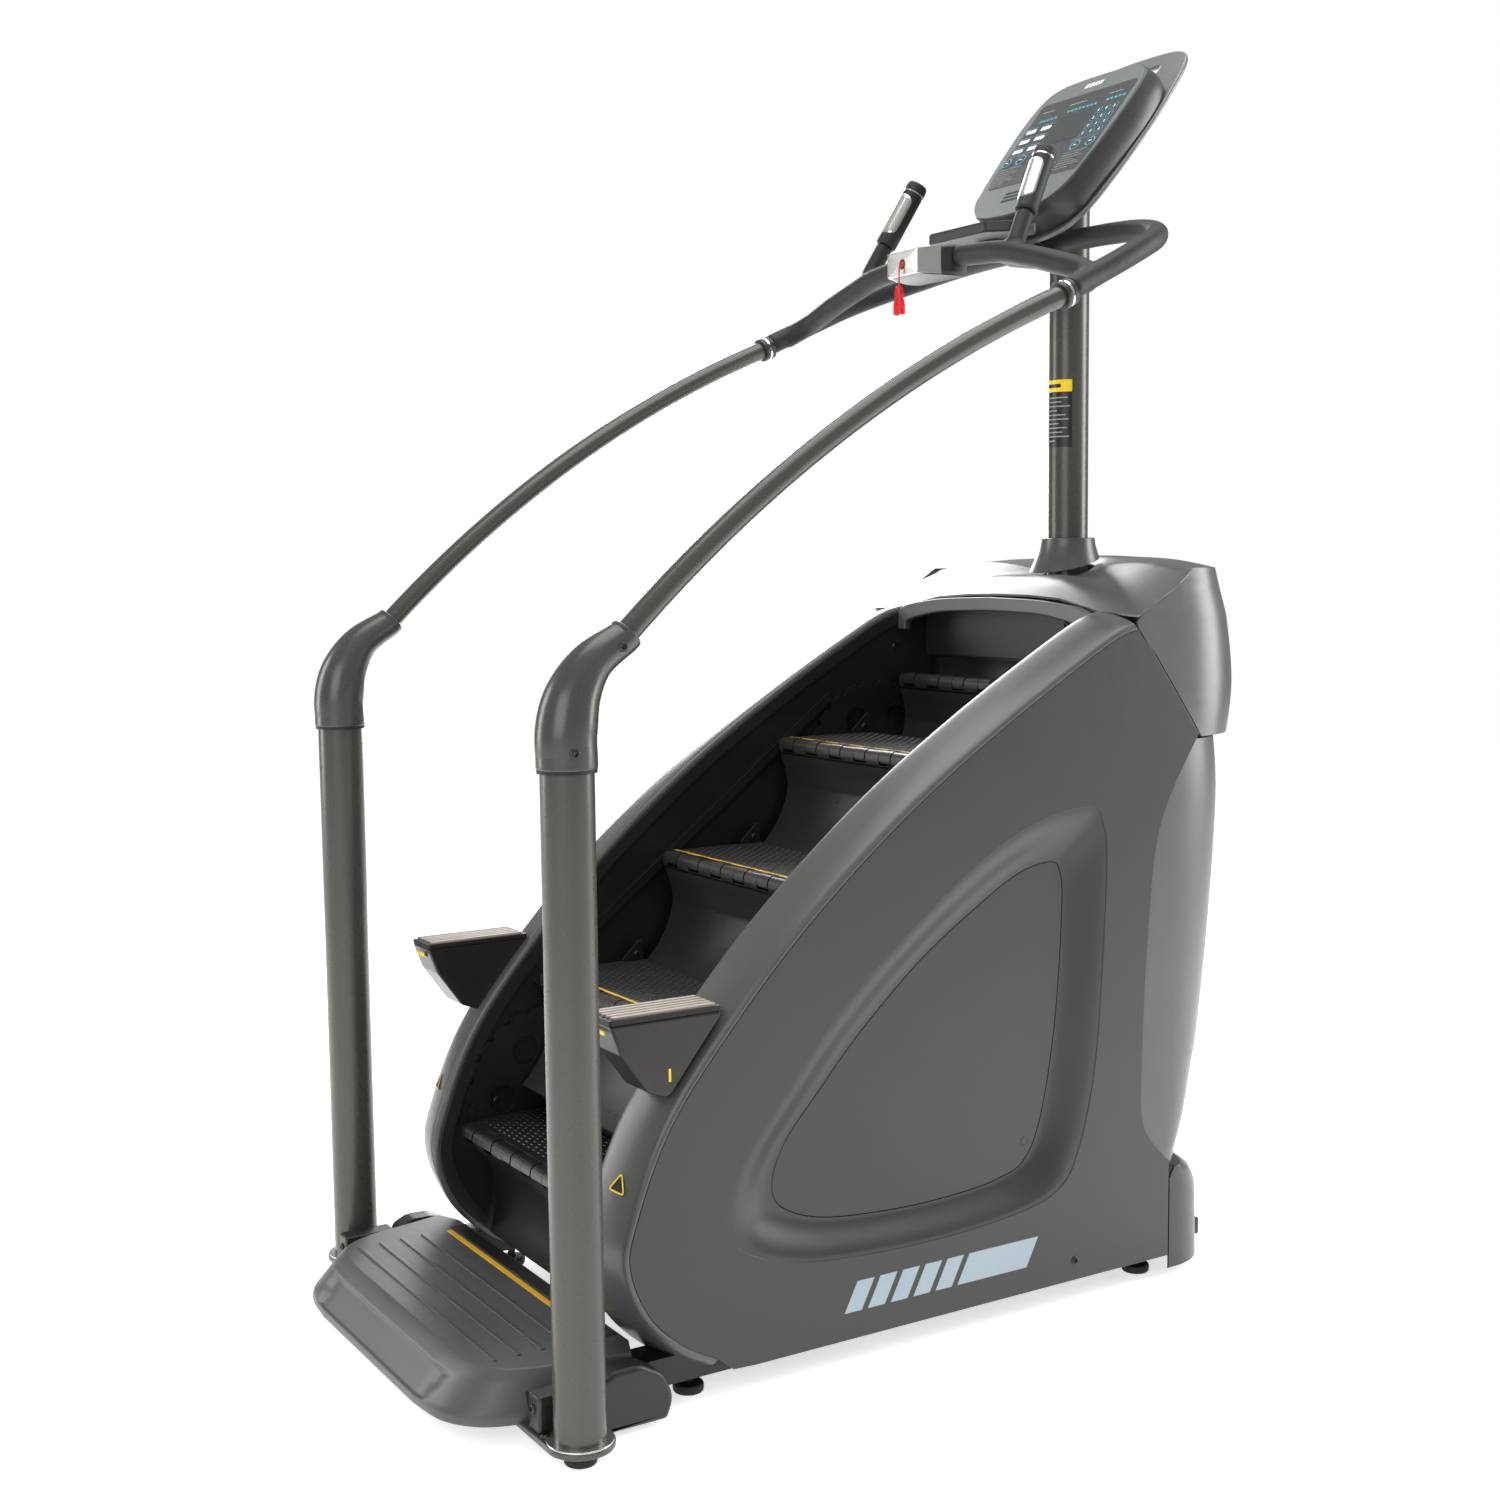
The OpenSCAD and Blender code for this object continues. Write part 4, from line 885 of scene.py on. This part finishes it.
# generic slanted stripes low on the panel
for i, (y0, w) in enumerate(((-130, 34), (-84, 34), (-38, 34), (8, 34), (54, 34), (100, 150))):
    z0, z1, lean = 88, 138, 26
    q = [(y0, z0), (y0 + w, z0), (y0 + w + lean, z1), (y0 + lean, z1)]
    s.join(film(q, 394, 394.5, on_x, 0.2), 1)
s.join(hex_bolt((393.6, 360, 78), (1, 0, 0), 7.5, 3.2, 3, 4))
piece("panel_look_right", s, [GUNMETAL, STRIPE, DARK, BOLT, DARK],
      ["side_panel_right", "recess_trays"])
piece("panel_look_left", s.mirrored(), [GUNMETAL, STRIPE, DARK, BOLT, DARK],
      ["side_panel_left", "bolts"])

s = film(offset(access, -1.1), 358, 364.6, on_x, 1.2)
put = disc_put((364.6, 270, 300), (1, 0, 0))
s.join(lathe([(8.6, -0.5), (8.6, 0.2), (8.0, 0.7), (7, 0.7), (6.4, 0.2), (3, 0.2), (2.6, 0.5), (1, 0.5)],
             put, 36), 1)
piece("access_look", s.both(), [GUNMETAL, GUNMETAL], ["access_panels"])

# ---------------------------------------------------------------- rims round the opening
section = [(389, -12.5), (392.6, -12), (393.6, -11), (393.8, -9), (392.6, -6), (390, -2.6), (386, 0.4),
           (380, 3), (370, 7), (358, 11), (345, 14), (330, 17), (315, 19.2), (306, 20), (300, 19.8),
           (296.5, 18.6), (294, 16.6), (292.5, 13), (292, 8), (292, -6), (296, -6), (296, 12), (304, 15),
           (345, 9), (379, -2)]
rows = [[(x, *band_at(i, n)) for x, n in section] for i in range(len(band))]
s = loft(rows)


def warning(c, along_v, out_v, size, mats):
    """Plain yellow rounded triangle with a black border, lying on the given plane."""
    w = Shape()
    c, along_v, out_v = Vector(c), Vector(along_v).normalized(), Vector(out_v).normalized()
    up_v = out_v.cross(along_v)
    put = lambda u, v, h: tuple(c + along_v * u + up_v * v + out_v * h)
    big_tri = rounded([(-size, -size * 0.6), (size, -size * 0.6), (0, size * 1.15)], size * 0.22, 4)
    w.join(film(big_tri, 0, 0.5, put, 0.15), mats[0])
    border = (offset(big_tri, -size * 0.14), [offset(big_tri, -size * 0.24)])
    bar = (rect(-size * 0.1, size * 0.1, -size * 0.1, size * 0.45, size * 0.08), ())
    for outline, holes in (border, bar, (circle(0, -size * 0.27, size * 0.1, 16), ())):
        w.join(film(outline, 0.5, 0.7, put, 0.1, holes=holes), mats[1])
    return w


near = min(range(len(band)), key=lambda i: (band[i][0] + 497) ** 2 + (band[i][1] - 360) ** 2)
pa, pb = band_at(near - 1, 9), band_at(near + 1, 9)
tang = Vector((0, pa[0] - pb[0], pa[1] - pb[1])).normalized()
inner, outer = band_at(near, 0), band_at(near, 10)
outv = Vector((0.26, (outer[0] - inner[0]) / 10, (outer[1] - inner[1]) / 10)).normalized()
cpos = Vector((352, *band_at(near, 13.8)))
alongv = tang.cross(outv).normalized()
if outv.cross(alongv).z < 0:
    alongv = -alongv
s.join(warning(cpos, alongv, outv, 19, (1, 2)))
for side, q in (("right", s), ("left", s.mirrored())):
    piece("rim_look_" + side, q, [RIM, LABEL_Y, LABEL_K], ["rim_" + side])

# ---------------------------------------------------------------- inner walls of the stair well
LOWER, UPPER, MOTOR = (-326.011, 333.055), (416.942, 901.086), (380, 230)
wall_out = band_off(11) + [(-330, 82), (560, 82), (560, 1190)]
s = Shape()
holes = [circle(*LOWER, 30, 40), circle(*UPPER, 16, 30), circle(*MOTOR, 20, 30)]
s.join(slab(wall_out, 292, 288, on_x, r=0.4, r0=0.4, holes=holes), 0)
# flange strip just inside the bright band
outer, inner = band_off(10), band_off(-12)
rows = [[(x, *p) for p in q] for x, q in ((288, outer), (284.5, outer), (284, inner), (288, inner))]
rows = [[r[i] for r in rows] for i in range(4, len(band) - 2)]
s.join(loft(rows), 1)
put = disc_put((288, *LOWER), (-1, 0, 0))
s.join(lathe([(33, -1), (33, 2.5), (34, 3), (56, 3), (57, 2.5), (57, -1)], put, 56), 1)
for u, v in circle(0, 0, 45, 8):
    s.join(film(circle(u, v, 5.5, 16), 2.6, 3.4, put, 0.2), 3)
for y, z in ((-430, 330), (-395, 215), (-300, 520), (-120, 700), (120, 880), (330, 1020), (-210, 160),
             (470, 1130)):
    s.join(hex_bolt((288.3, y, z), (-1, 0, 0), 7, 3.2, 2, 3))
s.join(warning((284.0, -470, 300), (0, 1, 0), (-1, 0, 0), 11, (4, 3)))
both = s.both()
both.join(block(-285, 285, 545, 549, 1112, 1210, 1.2), 1)
both.join(hex_bolt((150, 544.8, 1180), (0, -1, 0), 7, 3, 2, 3))
piece("walls_look", both, [WALL_AND_SHADE, FRAMEP, BOLT, DARK, LABEL_Y], ["inner_walls"])

# ---------------------------------------------------------------- hood, rear and base covers
SQUARE, SKIN, HALF_W = 2.7, 4.0, 394


def power(v):
    return math.copysign(abs(v) ** (2 / SQUARE), v)


def rear_point(c, depth, half_w, z, a):
    return (half_w * power(math.cos(a)), c + depth * power(math.sin(a)), z)


def rear_ring(front_y, c, depth, half_w, z, n=64):
    if front_y > c:
        a0 = math.asin(min(1, ((front_y - c) / depth) ** (SQUARE / 2)))
        n += 2
        return [rear_point(c, depth, half_w, z, a0 + (math.pi - 2 * a0) * i / n) for i in range(n + 1)]
    back = [rear_point(c, depth, half_w, z, math.pi * i / n) for i in range(n + 1)]
    return [(half_w, front_y, z)] + back + [(-half_w, front_y, z)]


def shell(levels, centre_at):
    """Open half shell through levels of (z, front_y, depth, half width)."""
    rings_o = [rear_ring(f, centre_at, d, w, z) for z, f, d, w in levels]
    rings_i = [rear_ring(f, centre_at, d - SKIN, w - SKIN, z) for z, f, d, w in levels]
    pairs = [(rings_o[0], rings_i[0]), (rings_o[-1], rings_i[-1])]
    pairs += [([r[j] for r in rings_o], [r[j] for r in rings_i]) for j in (0, -1)]
    s = loft(rings_o, closed=False).join(loft(rings_i, closed=False))
    for pair in pairs:
        s.join(loft(pair, closed=False))
    return s


hood_lv = [(985, 652, 250), (1030, 618, 262), (1075, 584, 268), (1130, 543, 262), (1193, 495, 246),
           (1240, 575, 228), (1285, 640, 212)]
s = shell([(z, f, d, HALF_W - 0.12 * max(0, z - 1200)) for z, f, d in curve(hood_lv, 5)], 600)


def hood_edge_z(y):
    return 1201 + (y - 488) * 0.5 if y < 640 else 1277 + 8 * min(1, (y - 640) / 100)


rear_edge = []
for i in range(61):
    p = rear_point(600, 212, 1, 0, math.pi * i / 60)
    z = hood_edge_z(p[1])
    rear_edge.append((p[0] * (HALF_W - 0.12 * (z - 1200)), p[1], z))
front_half = [(389.6, 560, 1237), (393.4, 497, 1205), (300, 492, 1210), (180, 500, 1232)]
edge = rear_edge + [(-x, y, z) for x, y, z in front_half]
edge += [(-90, 503.5, 1237), (0, 505, 1238), (90, 503.5, 1237)] + list(reversed(front_half))


def hole_point(p):
    d = Vector((p[0], p[1] - COLUMN_Y)).normalized() * 52
    return Vector((d.x, COLUMN_Y + d.y, 1278 + 0.28 * d.y))


def top_ring(t, drop):
    out = []
    for p in edge:
        q = hole_point(p)
        v = Vector(p).lerp(q, t)
        out.append((v.x, v.y, v.z + 20 * math.sin(math.pi * t) - drop))
    return out


rows = [top_ring(i / 14, 0) for i in range(15)]
s.join(loft(rows, caps=(False, False)))
rows = [top_ring(0, 0), top_ring(0, 4), top_ring(0.5, 4), top_ring(1, 4), top_ring(1, 0)]
s.join(loft(rows, caps=(False, False)))
piece("hood_look", s, HOOD, ["hood"], sharp=34)

top = [(287, 1165), (287, 1190), (286, 1202), (278, 1209)]
top += curve([(262, 1213), (240, 1218), (140, 1228), (0, 1232)], 6)
low = [(263, 1165), (263, 1170), (262, 1178), (254, 1184)]
low += curve([(240, 1187), (216, 1192), (140, 1202), (0, 1206)], 6)
lip = top + [(-x, z) for x, z in reversed(top[:-1])]
lip += [(-x, z) for x, z in low] + list(reversed(low[:-1]))
s = slab(lip, 476, 490, on_y, r=1.5, r0=3.5)
piece("lip_look", s, RIM, ["hood_lip"])

rear_lv = [(205, 600, 92), (272, 560, 143), (308, 545, 163), (381, 530, 190), (435, 525, 210),
           (620, 535, 247), (860, 572, 274), (980, 640, 262)]


def seam_y(z):
    for (y0, z0), (y1, z1) in zip(rear_seam, rear_seam[1:]):
        if z0 <= z <= z1:
            return y0 + (y1 - y0) * (z - z0) / (z1 - z0)
    return rear_seam[-1][0]


s = shell([(z, min(seam_y(z) + 0.6, 600 if z < 300 else 700), d - 5, 390)
           for z, f, d in curve(rear_lv, 6)], 566)
piece("rear_look", s, RIM, ["rear_cover"], sharp=34)
s = shell([(17, 584, 168, 392), (18.5, 584, 170, 394), (90, 584, 168, 394), (150, 584, 164, 394),
           (166, 584, 157, 394), (185, 584, 140, 393.5), (198, 594, 112, 392), (204, 600, 96, 391),
           (206, 600, 60, 388)], 586)
piece("base_look", s, GUNMETAL, ["base_cover"], sharp=34)

# ---------------------------------------------------------------- side steps
arm = rounded([(-545, 618), (-352, 618), (-352, 610), (-446, 494), (-482, 508), (-528, 572)],
              [3, 3, 3, 14, 14, 12], 5)
s = slab(arm, 314, 388, on_x, r=4)
s.join(block(318, 330, -546.4, -544, 604, 612, 0.6), 1)
s.join(film([(-446, 520), (-442, 520), (-442, 540), (-446, 540)], 388, 388.4, on_x, 0.1), 2)
s.join(block(322, 372, -546.2, -544.5, 602, 608, 0.5), 2)
piece("side_steps_look", s.both(), [RISER, BLACK, LABEL_Y], ["side_steps"])
s = film(rect(312, 388, -545, -350, 5), 618.4, 626, on_z, 1)
for i in range(5):
    x = 315 + i * 14.4
    s.join(film(rect(x, x + 10.2, -538, -358, 3), 625, 630, on_z, 1.6), 1)
piece("pads_look", s.both(), [DARK, PAD], ["side_step_pads"])

# ---------------------------------------------------------------- stairs
RUN = math.radians(37.4)
RUN_V = (math.cos(RUN), math.sin(RUN))
R_S = 175.0
END_X = 276.0
TAB_W = 34.0
TABS = [(j - 3) * 80.0 for j in range(7)]
NOSE_R = 12.4
STEP_PITCH = 330


def riser_curve(a_deg):
    """Line from behind the nose, round it and down the bowed riser to its foot."""
    rot = math.radians(a_deg + 90)

    def bowed(t):
        u, v = 30 * 4 * t * (1 - t), -200 * t
        return Vector((u * math.cos(rot) - v * math.sin(rot), u * math.sin(rot) + v * math.cos(rot)))

    arc = [Vector((NOSE_R * math.cos(math.radians(g)), NOSE_R * math.sin(math.radians(g))))
           for g in range(84, 181, 8)]
    low = bowed(0.38)
    mid_p = [(-NOSE_R, 0), (-12.0, -10), (low.x * 0.25 - 8.5, -26), (low.x * 0.68 - 2.6, -50), tuple(low)]
    flow = [Vector(p) for p in curve(mid_p, 6)]
    foot = [bowed(0.38 + 0.62 * i / 26) for i in range(27)]
    return [Vector((11.0, 12.3)), Vector((7, NOSE_R))] + arc + flow[1:-1] + foot


def strip(line, x0, x1, inner, mat, w0=0.0, w1=1e9, cut=0.0, proud=0.0):
    """Part of the skin between arc lengths w0 and w1, from X = x0 to x1, with thickness inward."""
    acc, rows_o, rows_i = 0.0, [], []
    for i, p in enumerate(line):
        if i:
            acc += (p - line[i - 1]).length
        if acc < w0 - 1e-6 or acc > w1 + 1e-6:
            continue
        t = (line[min(i + 1, len(line) - 1)] - line[max(i - 1, 0)]).normalized()
        n = Vector((-t.y, t.x))
        k = 0.0
        if cut and acc > w1 - cut:
            k = cut - math.sqrt(max(0, cut * cut - (acc - w1 + cut) ** 2))
        o = p - n * proud
        rows_o.append([(x0 + k, o.x, o.y), (x1 - k, o.x, o.y)])
        q = p + n * inner
        rows_i.append([(x0 + k, q.x, q.y), (x1 - k, q.x, q.y)])
    rings = [[o[0], o[1], i_[1], i_[0]] for o, i_ in zip(rows_o, rows_i)]
    return loft(rings, mat=mat)


def riser_shape(a_deg):
    line = riser_curve(a_deg)
    e, lower = END_X - 4, 42.0
    s = strip(line, -e, e, 3.0, 0, w0=lower + 2.2)
    edges = [-e] + [v for t in TABS for v in (t - TAB_W / 2 - 2.6, t + TAB_W / 2 + 2.6)] + [e]
    for i in range(0, len(edges), 2):
        s.join(strip(line, edges[i], edges[i + 1], 3.0, 0, w1=lower + 6))
    for t in TABS:
        s.join(strip(line, t - TAB_W / 2, t + TAB_W / 2, 3.4, 1, w1=lower - 4, cut=5.0, proud=0.9))
    # thin near-black sheet behind the slits: painted shade seen through them
    s.join(strip([p - p.normalized() * 3.4 for p in line[:22]], -e + 4, e - 4, 1.0, 2))
    return s


def tread_shape(brackets=True):
    s = Shape()
    out = [(11.5, 11.6), (204, 11.6), (204, 4), (186, -16), (22, -16), (11.5, -6)]
    s.join(slab(out, -END_X, END_X, on_x, r=1.2), 0)
    x = END_X - 3
    s.join(film([(-x, 12.5), (x, 12.5), (x, 19.5), (-x, 19.5)], 11.2, 12.3, on_z, 0.5), 1)
    pitch_u, pitch_v = 20.0, 10.5
    for j in range(16):
        y = 31 + j * pitch_v
        shift = pitch_u / 2 if j % 2 else 0
        n = int((2 * END_X - 20) // pitch_u)
        for i in range(n):
            x = -END_X + 18 + i * pitch_u + shift
            if x > END_X - 12:
                continue
            base = ((-8, 0), (-4, -3.4), (4, -3.4), (8, 0), (4, 3.4), (-4, 3.4))
            v = [(x + a, y + b, 11.4) for a, b in base]
            v += [(x + a * 0.72, y + b * 0.62, 12.9) for a, b in base]
            s.add(v, [(k, (k + 1) % 6, 6 + (k + 1) % 6, 6 + k) for k in range(6)] + [tuple(range(6, 12))], 0)
    for k in (1, -1) if brackets else ():
        br = rounded([(150, 12), (200, 12), (200, 50), (192, 50)], 4, 3)
        s.join(slab(br, k * 266, k * 269, on_x, r=0.8), 3)
        s.join(hex_bolt((k * 265.8, 186, 24), (-k, 0, 0), 6, 3, 2, 3))
    return s


def placed(shape, hinge, a_deg):
    a = math.radians(a_deg)
    q = Shape().join(shape)
    c, w = math.cos(a), math.sin(a)
    q.v = [(x, hinge[0] + y * c - z * w, hinge[1] + y * w + z * c) for x, y, z in q.v]
    return q


def hinge_front(k):
    return (-333 + (k - 1) * STEP_PITCH * RUN_V[0], 548 + (k - 1) * STEP_PITCH * RUN_V[1])


REST = -105.4
TREAD_S = tread_shape()
RISER_S = riser_shape(REST)
TM, RM = [TREAD, YELLOW, BOLT, DARK], [RISER, RISER, DARK]


def around(axis_pt, ang):
    a = math.pi / 2 + RUN - ang
    return (axis_pt[0] + R_S * math.cos(a), axis_pt[1] + R_S * math.sin(a))


run_len = (9 * STEP_PITCH - 2 * math.pi * R_S) / 2
H4 = around(UPPER, (3 * STEP_PITCH - (run_len - 125)) / R_S)
H5 = around(UPPER, (4 * STEP_PITCH - (run_len - 125)) / R_S)
H0 = around(LOWER, -(STEP_PITCH - 125) / R_S)
for k in (1, 2, 3):
    hinge, body = hinge_front(k), "step_%d" % k
    piece("tread_look_%d" % k, placed(TREAD_S, hinge, 0), TM, ["tread_%d" % k], body, 30)
    piece("riser_look_%d" % k, placed(RISER_S, hinge, 0), RM, ["riser_%d" % k], body)
PLAIN_S = tread_shape(False)
up = placed(PLAIN_S, H4, -26)
up.join(placed(PLAIN_S, H5, -150))
piece("tread_look_upper", up, TM, ["upper_treads"], "upper_idlers", 30)
piece("riser_look_4", placed(riser_shape(-108), H4, 0), RM, ["riser_4"], "top_riser")
# the lowest tread and riser take the near-black wall colour instead of their own, yellow line and bolts
# included: painted shade low in the stair well
piece("tread_look_lower", placed(TREAD_S, H0, 3), [WALL_AND_SHADE] * 4, ["lower_tread"],
      "lower_drive", 30)
piece("riser_look_0", placed(riser_shape(-79), H0, 0), [WALL_AND_SHADE, WALL_AND_SHADE, DARK], ["lower_riser"],
      "bottom_riser")

# ---------------------------------------------------------------- nodes shown as packed
# sprockets and chains take the near-black wall colour as painted shade, which keeps them dim inside the
# machine
KEEP = (("base_frame", FRAMEP), ("drive_belt", RUBBER), ("return_treads", TREAD),
        *((n, RISER) for n in ("riser_5", "return_risers")),
        *((n, WALL_AND_SHADE) for n in ("idler_sprockets", "drive_sprockets", "front_chains", "return_chains")),
        *((n, CAST) for n in ("drive_shaft", "shaft_bearings", "drive_motor", "motor_pulley")))
for name, mat in KEEP:
    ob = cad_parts[name]
    ob.data.materials.clear()
    ob.data.materials.append(mat)

# ---------------------------------------------------------------- floor and light
floor_mat = bpy.data.materials.new("studio_floor")
floor_mat.use_nodes = True
nt = floor_mat.node_tree
bs = nt.nodes["Principled BSDF"]
bs.inputs["Roughness"].default_value = 0.6
bs.inputs["Emission Color"].default_value = (1, 1, 1, 1)
bs.inputs["Emission Strength"].default_value = 0.66
nz = nt.nodes.new("ShaderNodeTexNoise")
nz.inputs["Scale"].default_value = 3
rmp = nt.nodes.new("ShaderNodeValToRGB")
rmp.color_ramp.elements[0].color = (0.9, 0.9, 0.9, 1)
rmp.color_ramp.elements[1].color = (0.93, 0.93, 0.93, 1)
nt.links.new(nz.outputs["Fac"], rmp.inputs["Fac"])
nt.links.new(rmp.outputs["Color"], bs.inputs["Base Color"])
me = bpy.data.meshes.new("floor")
n = 8
g = [(-9 + 18 * i / n, -9 + 18 * j / n, -0.0005) for j in range(n + 1) for i in range(n + 1)]
corners = [j * (n + 1) + i for j in range(n) for i in range(n)]
me.from_pydata(g, [], [(k, k + 1, k + n + 2, k + n + 1) for k in corners])
me.materials.append(floor_mat)
floor = bpy.data.objects.new("floor", me)
scene.collection.objects.link(floor)

world = bpy.data.worlds.new("studio")
scene.world = world
world.use_nodes = True
wn, wl = world.node_tree.nodes, world.node_tree.links


def world_node(kind, **inputs):
    nd = wn.new("ShaderNode" + kind)
    for socket, value in inputs.items():
        nd.inputs[socket.replace("_", " ")].default_value = value
    return nd


# brighter overhead; plain white to the camera
sep = world_node("SeparateXYZ")
wl.new(world_node("TexCoord").outputs["Generated"], sep.inputs["Vector"])
rm = world_node("MapRange", From_Min=-0.2, From_Max=0.9, To_Min=0.35, To_Max=0.95)
wl.new(sep.outputs["Z"], rm.inputs["Value"])
bg = wn["Background"]
bg.inputs["Strength"].default_value = 0.55
wl.new(rm.outputs["Result"], bg.inputs["Color"])
white = world_node("Background", Color=(1, 1, 1, 1), Strength=1.0)
mixw = world_node("MixShader")
wl.new(world_node("LightPath").outputs["Is Camera Ray"], mixw.inputs["Fac"])
wl.new(bg.outputs["Background"], mixw.inputs[1])
wl.new(white.outputs["Background"], mixw.inputs[2])
wl.new(mixw.outputs["Shader"], wn["World Output"].inputs["Surface"])


def area_light(name, where, aim, size_x, size_y, watts):
    data = bpy.data.lights.new(name, "AREA")
    data.shape = "RECTANGLE"
    data.size, data.size_y, data.energy = size_x, size_y, watts
    ob = bpy.data.objects.new(name, data)
    scene.collection.objects.link(ob)
    ob.location = where
    ob.rotation_euler = (Vector(aim) - Vector(where)).to_track_quat("-Z", "Y").to_euler()


area_light("back_left", (-3.2, 1.6, 2.2), (0, 0, 1.0), 1.6, 3.2, 150)
area_light("back_right", (1.6, 3.6, 2.0), (0, 0.2, 0.9), 1.4, 3.0, 110)
area_light("overhead", (0.2, 0.2, 4.2), (0, 0, 0), 3.0, 3.0, 90)
area_light("front_fill", (2.6, -3.6, 2.4), (0, 0, 0.9), 2.6, 2.6, 60)
area_light("left_front", (-2.6, -3.0, 1.8), (0, -0.2, 0.9), 1.2, 2.6, 60)
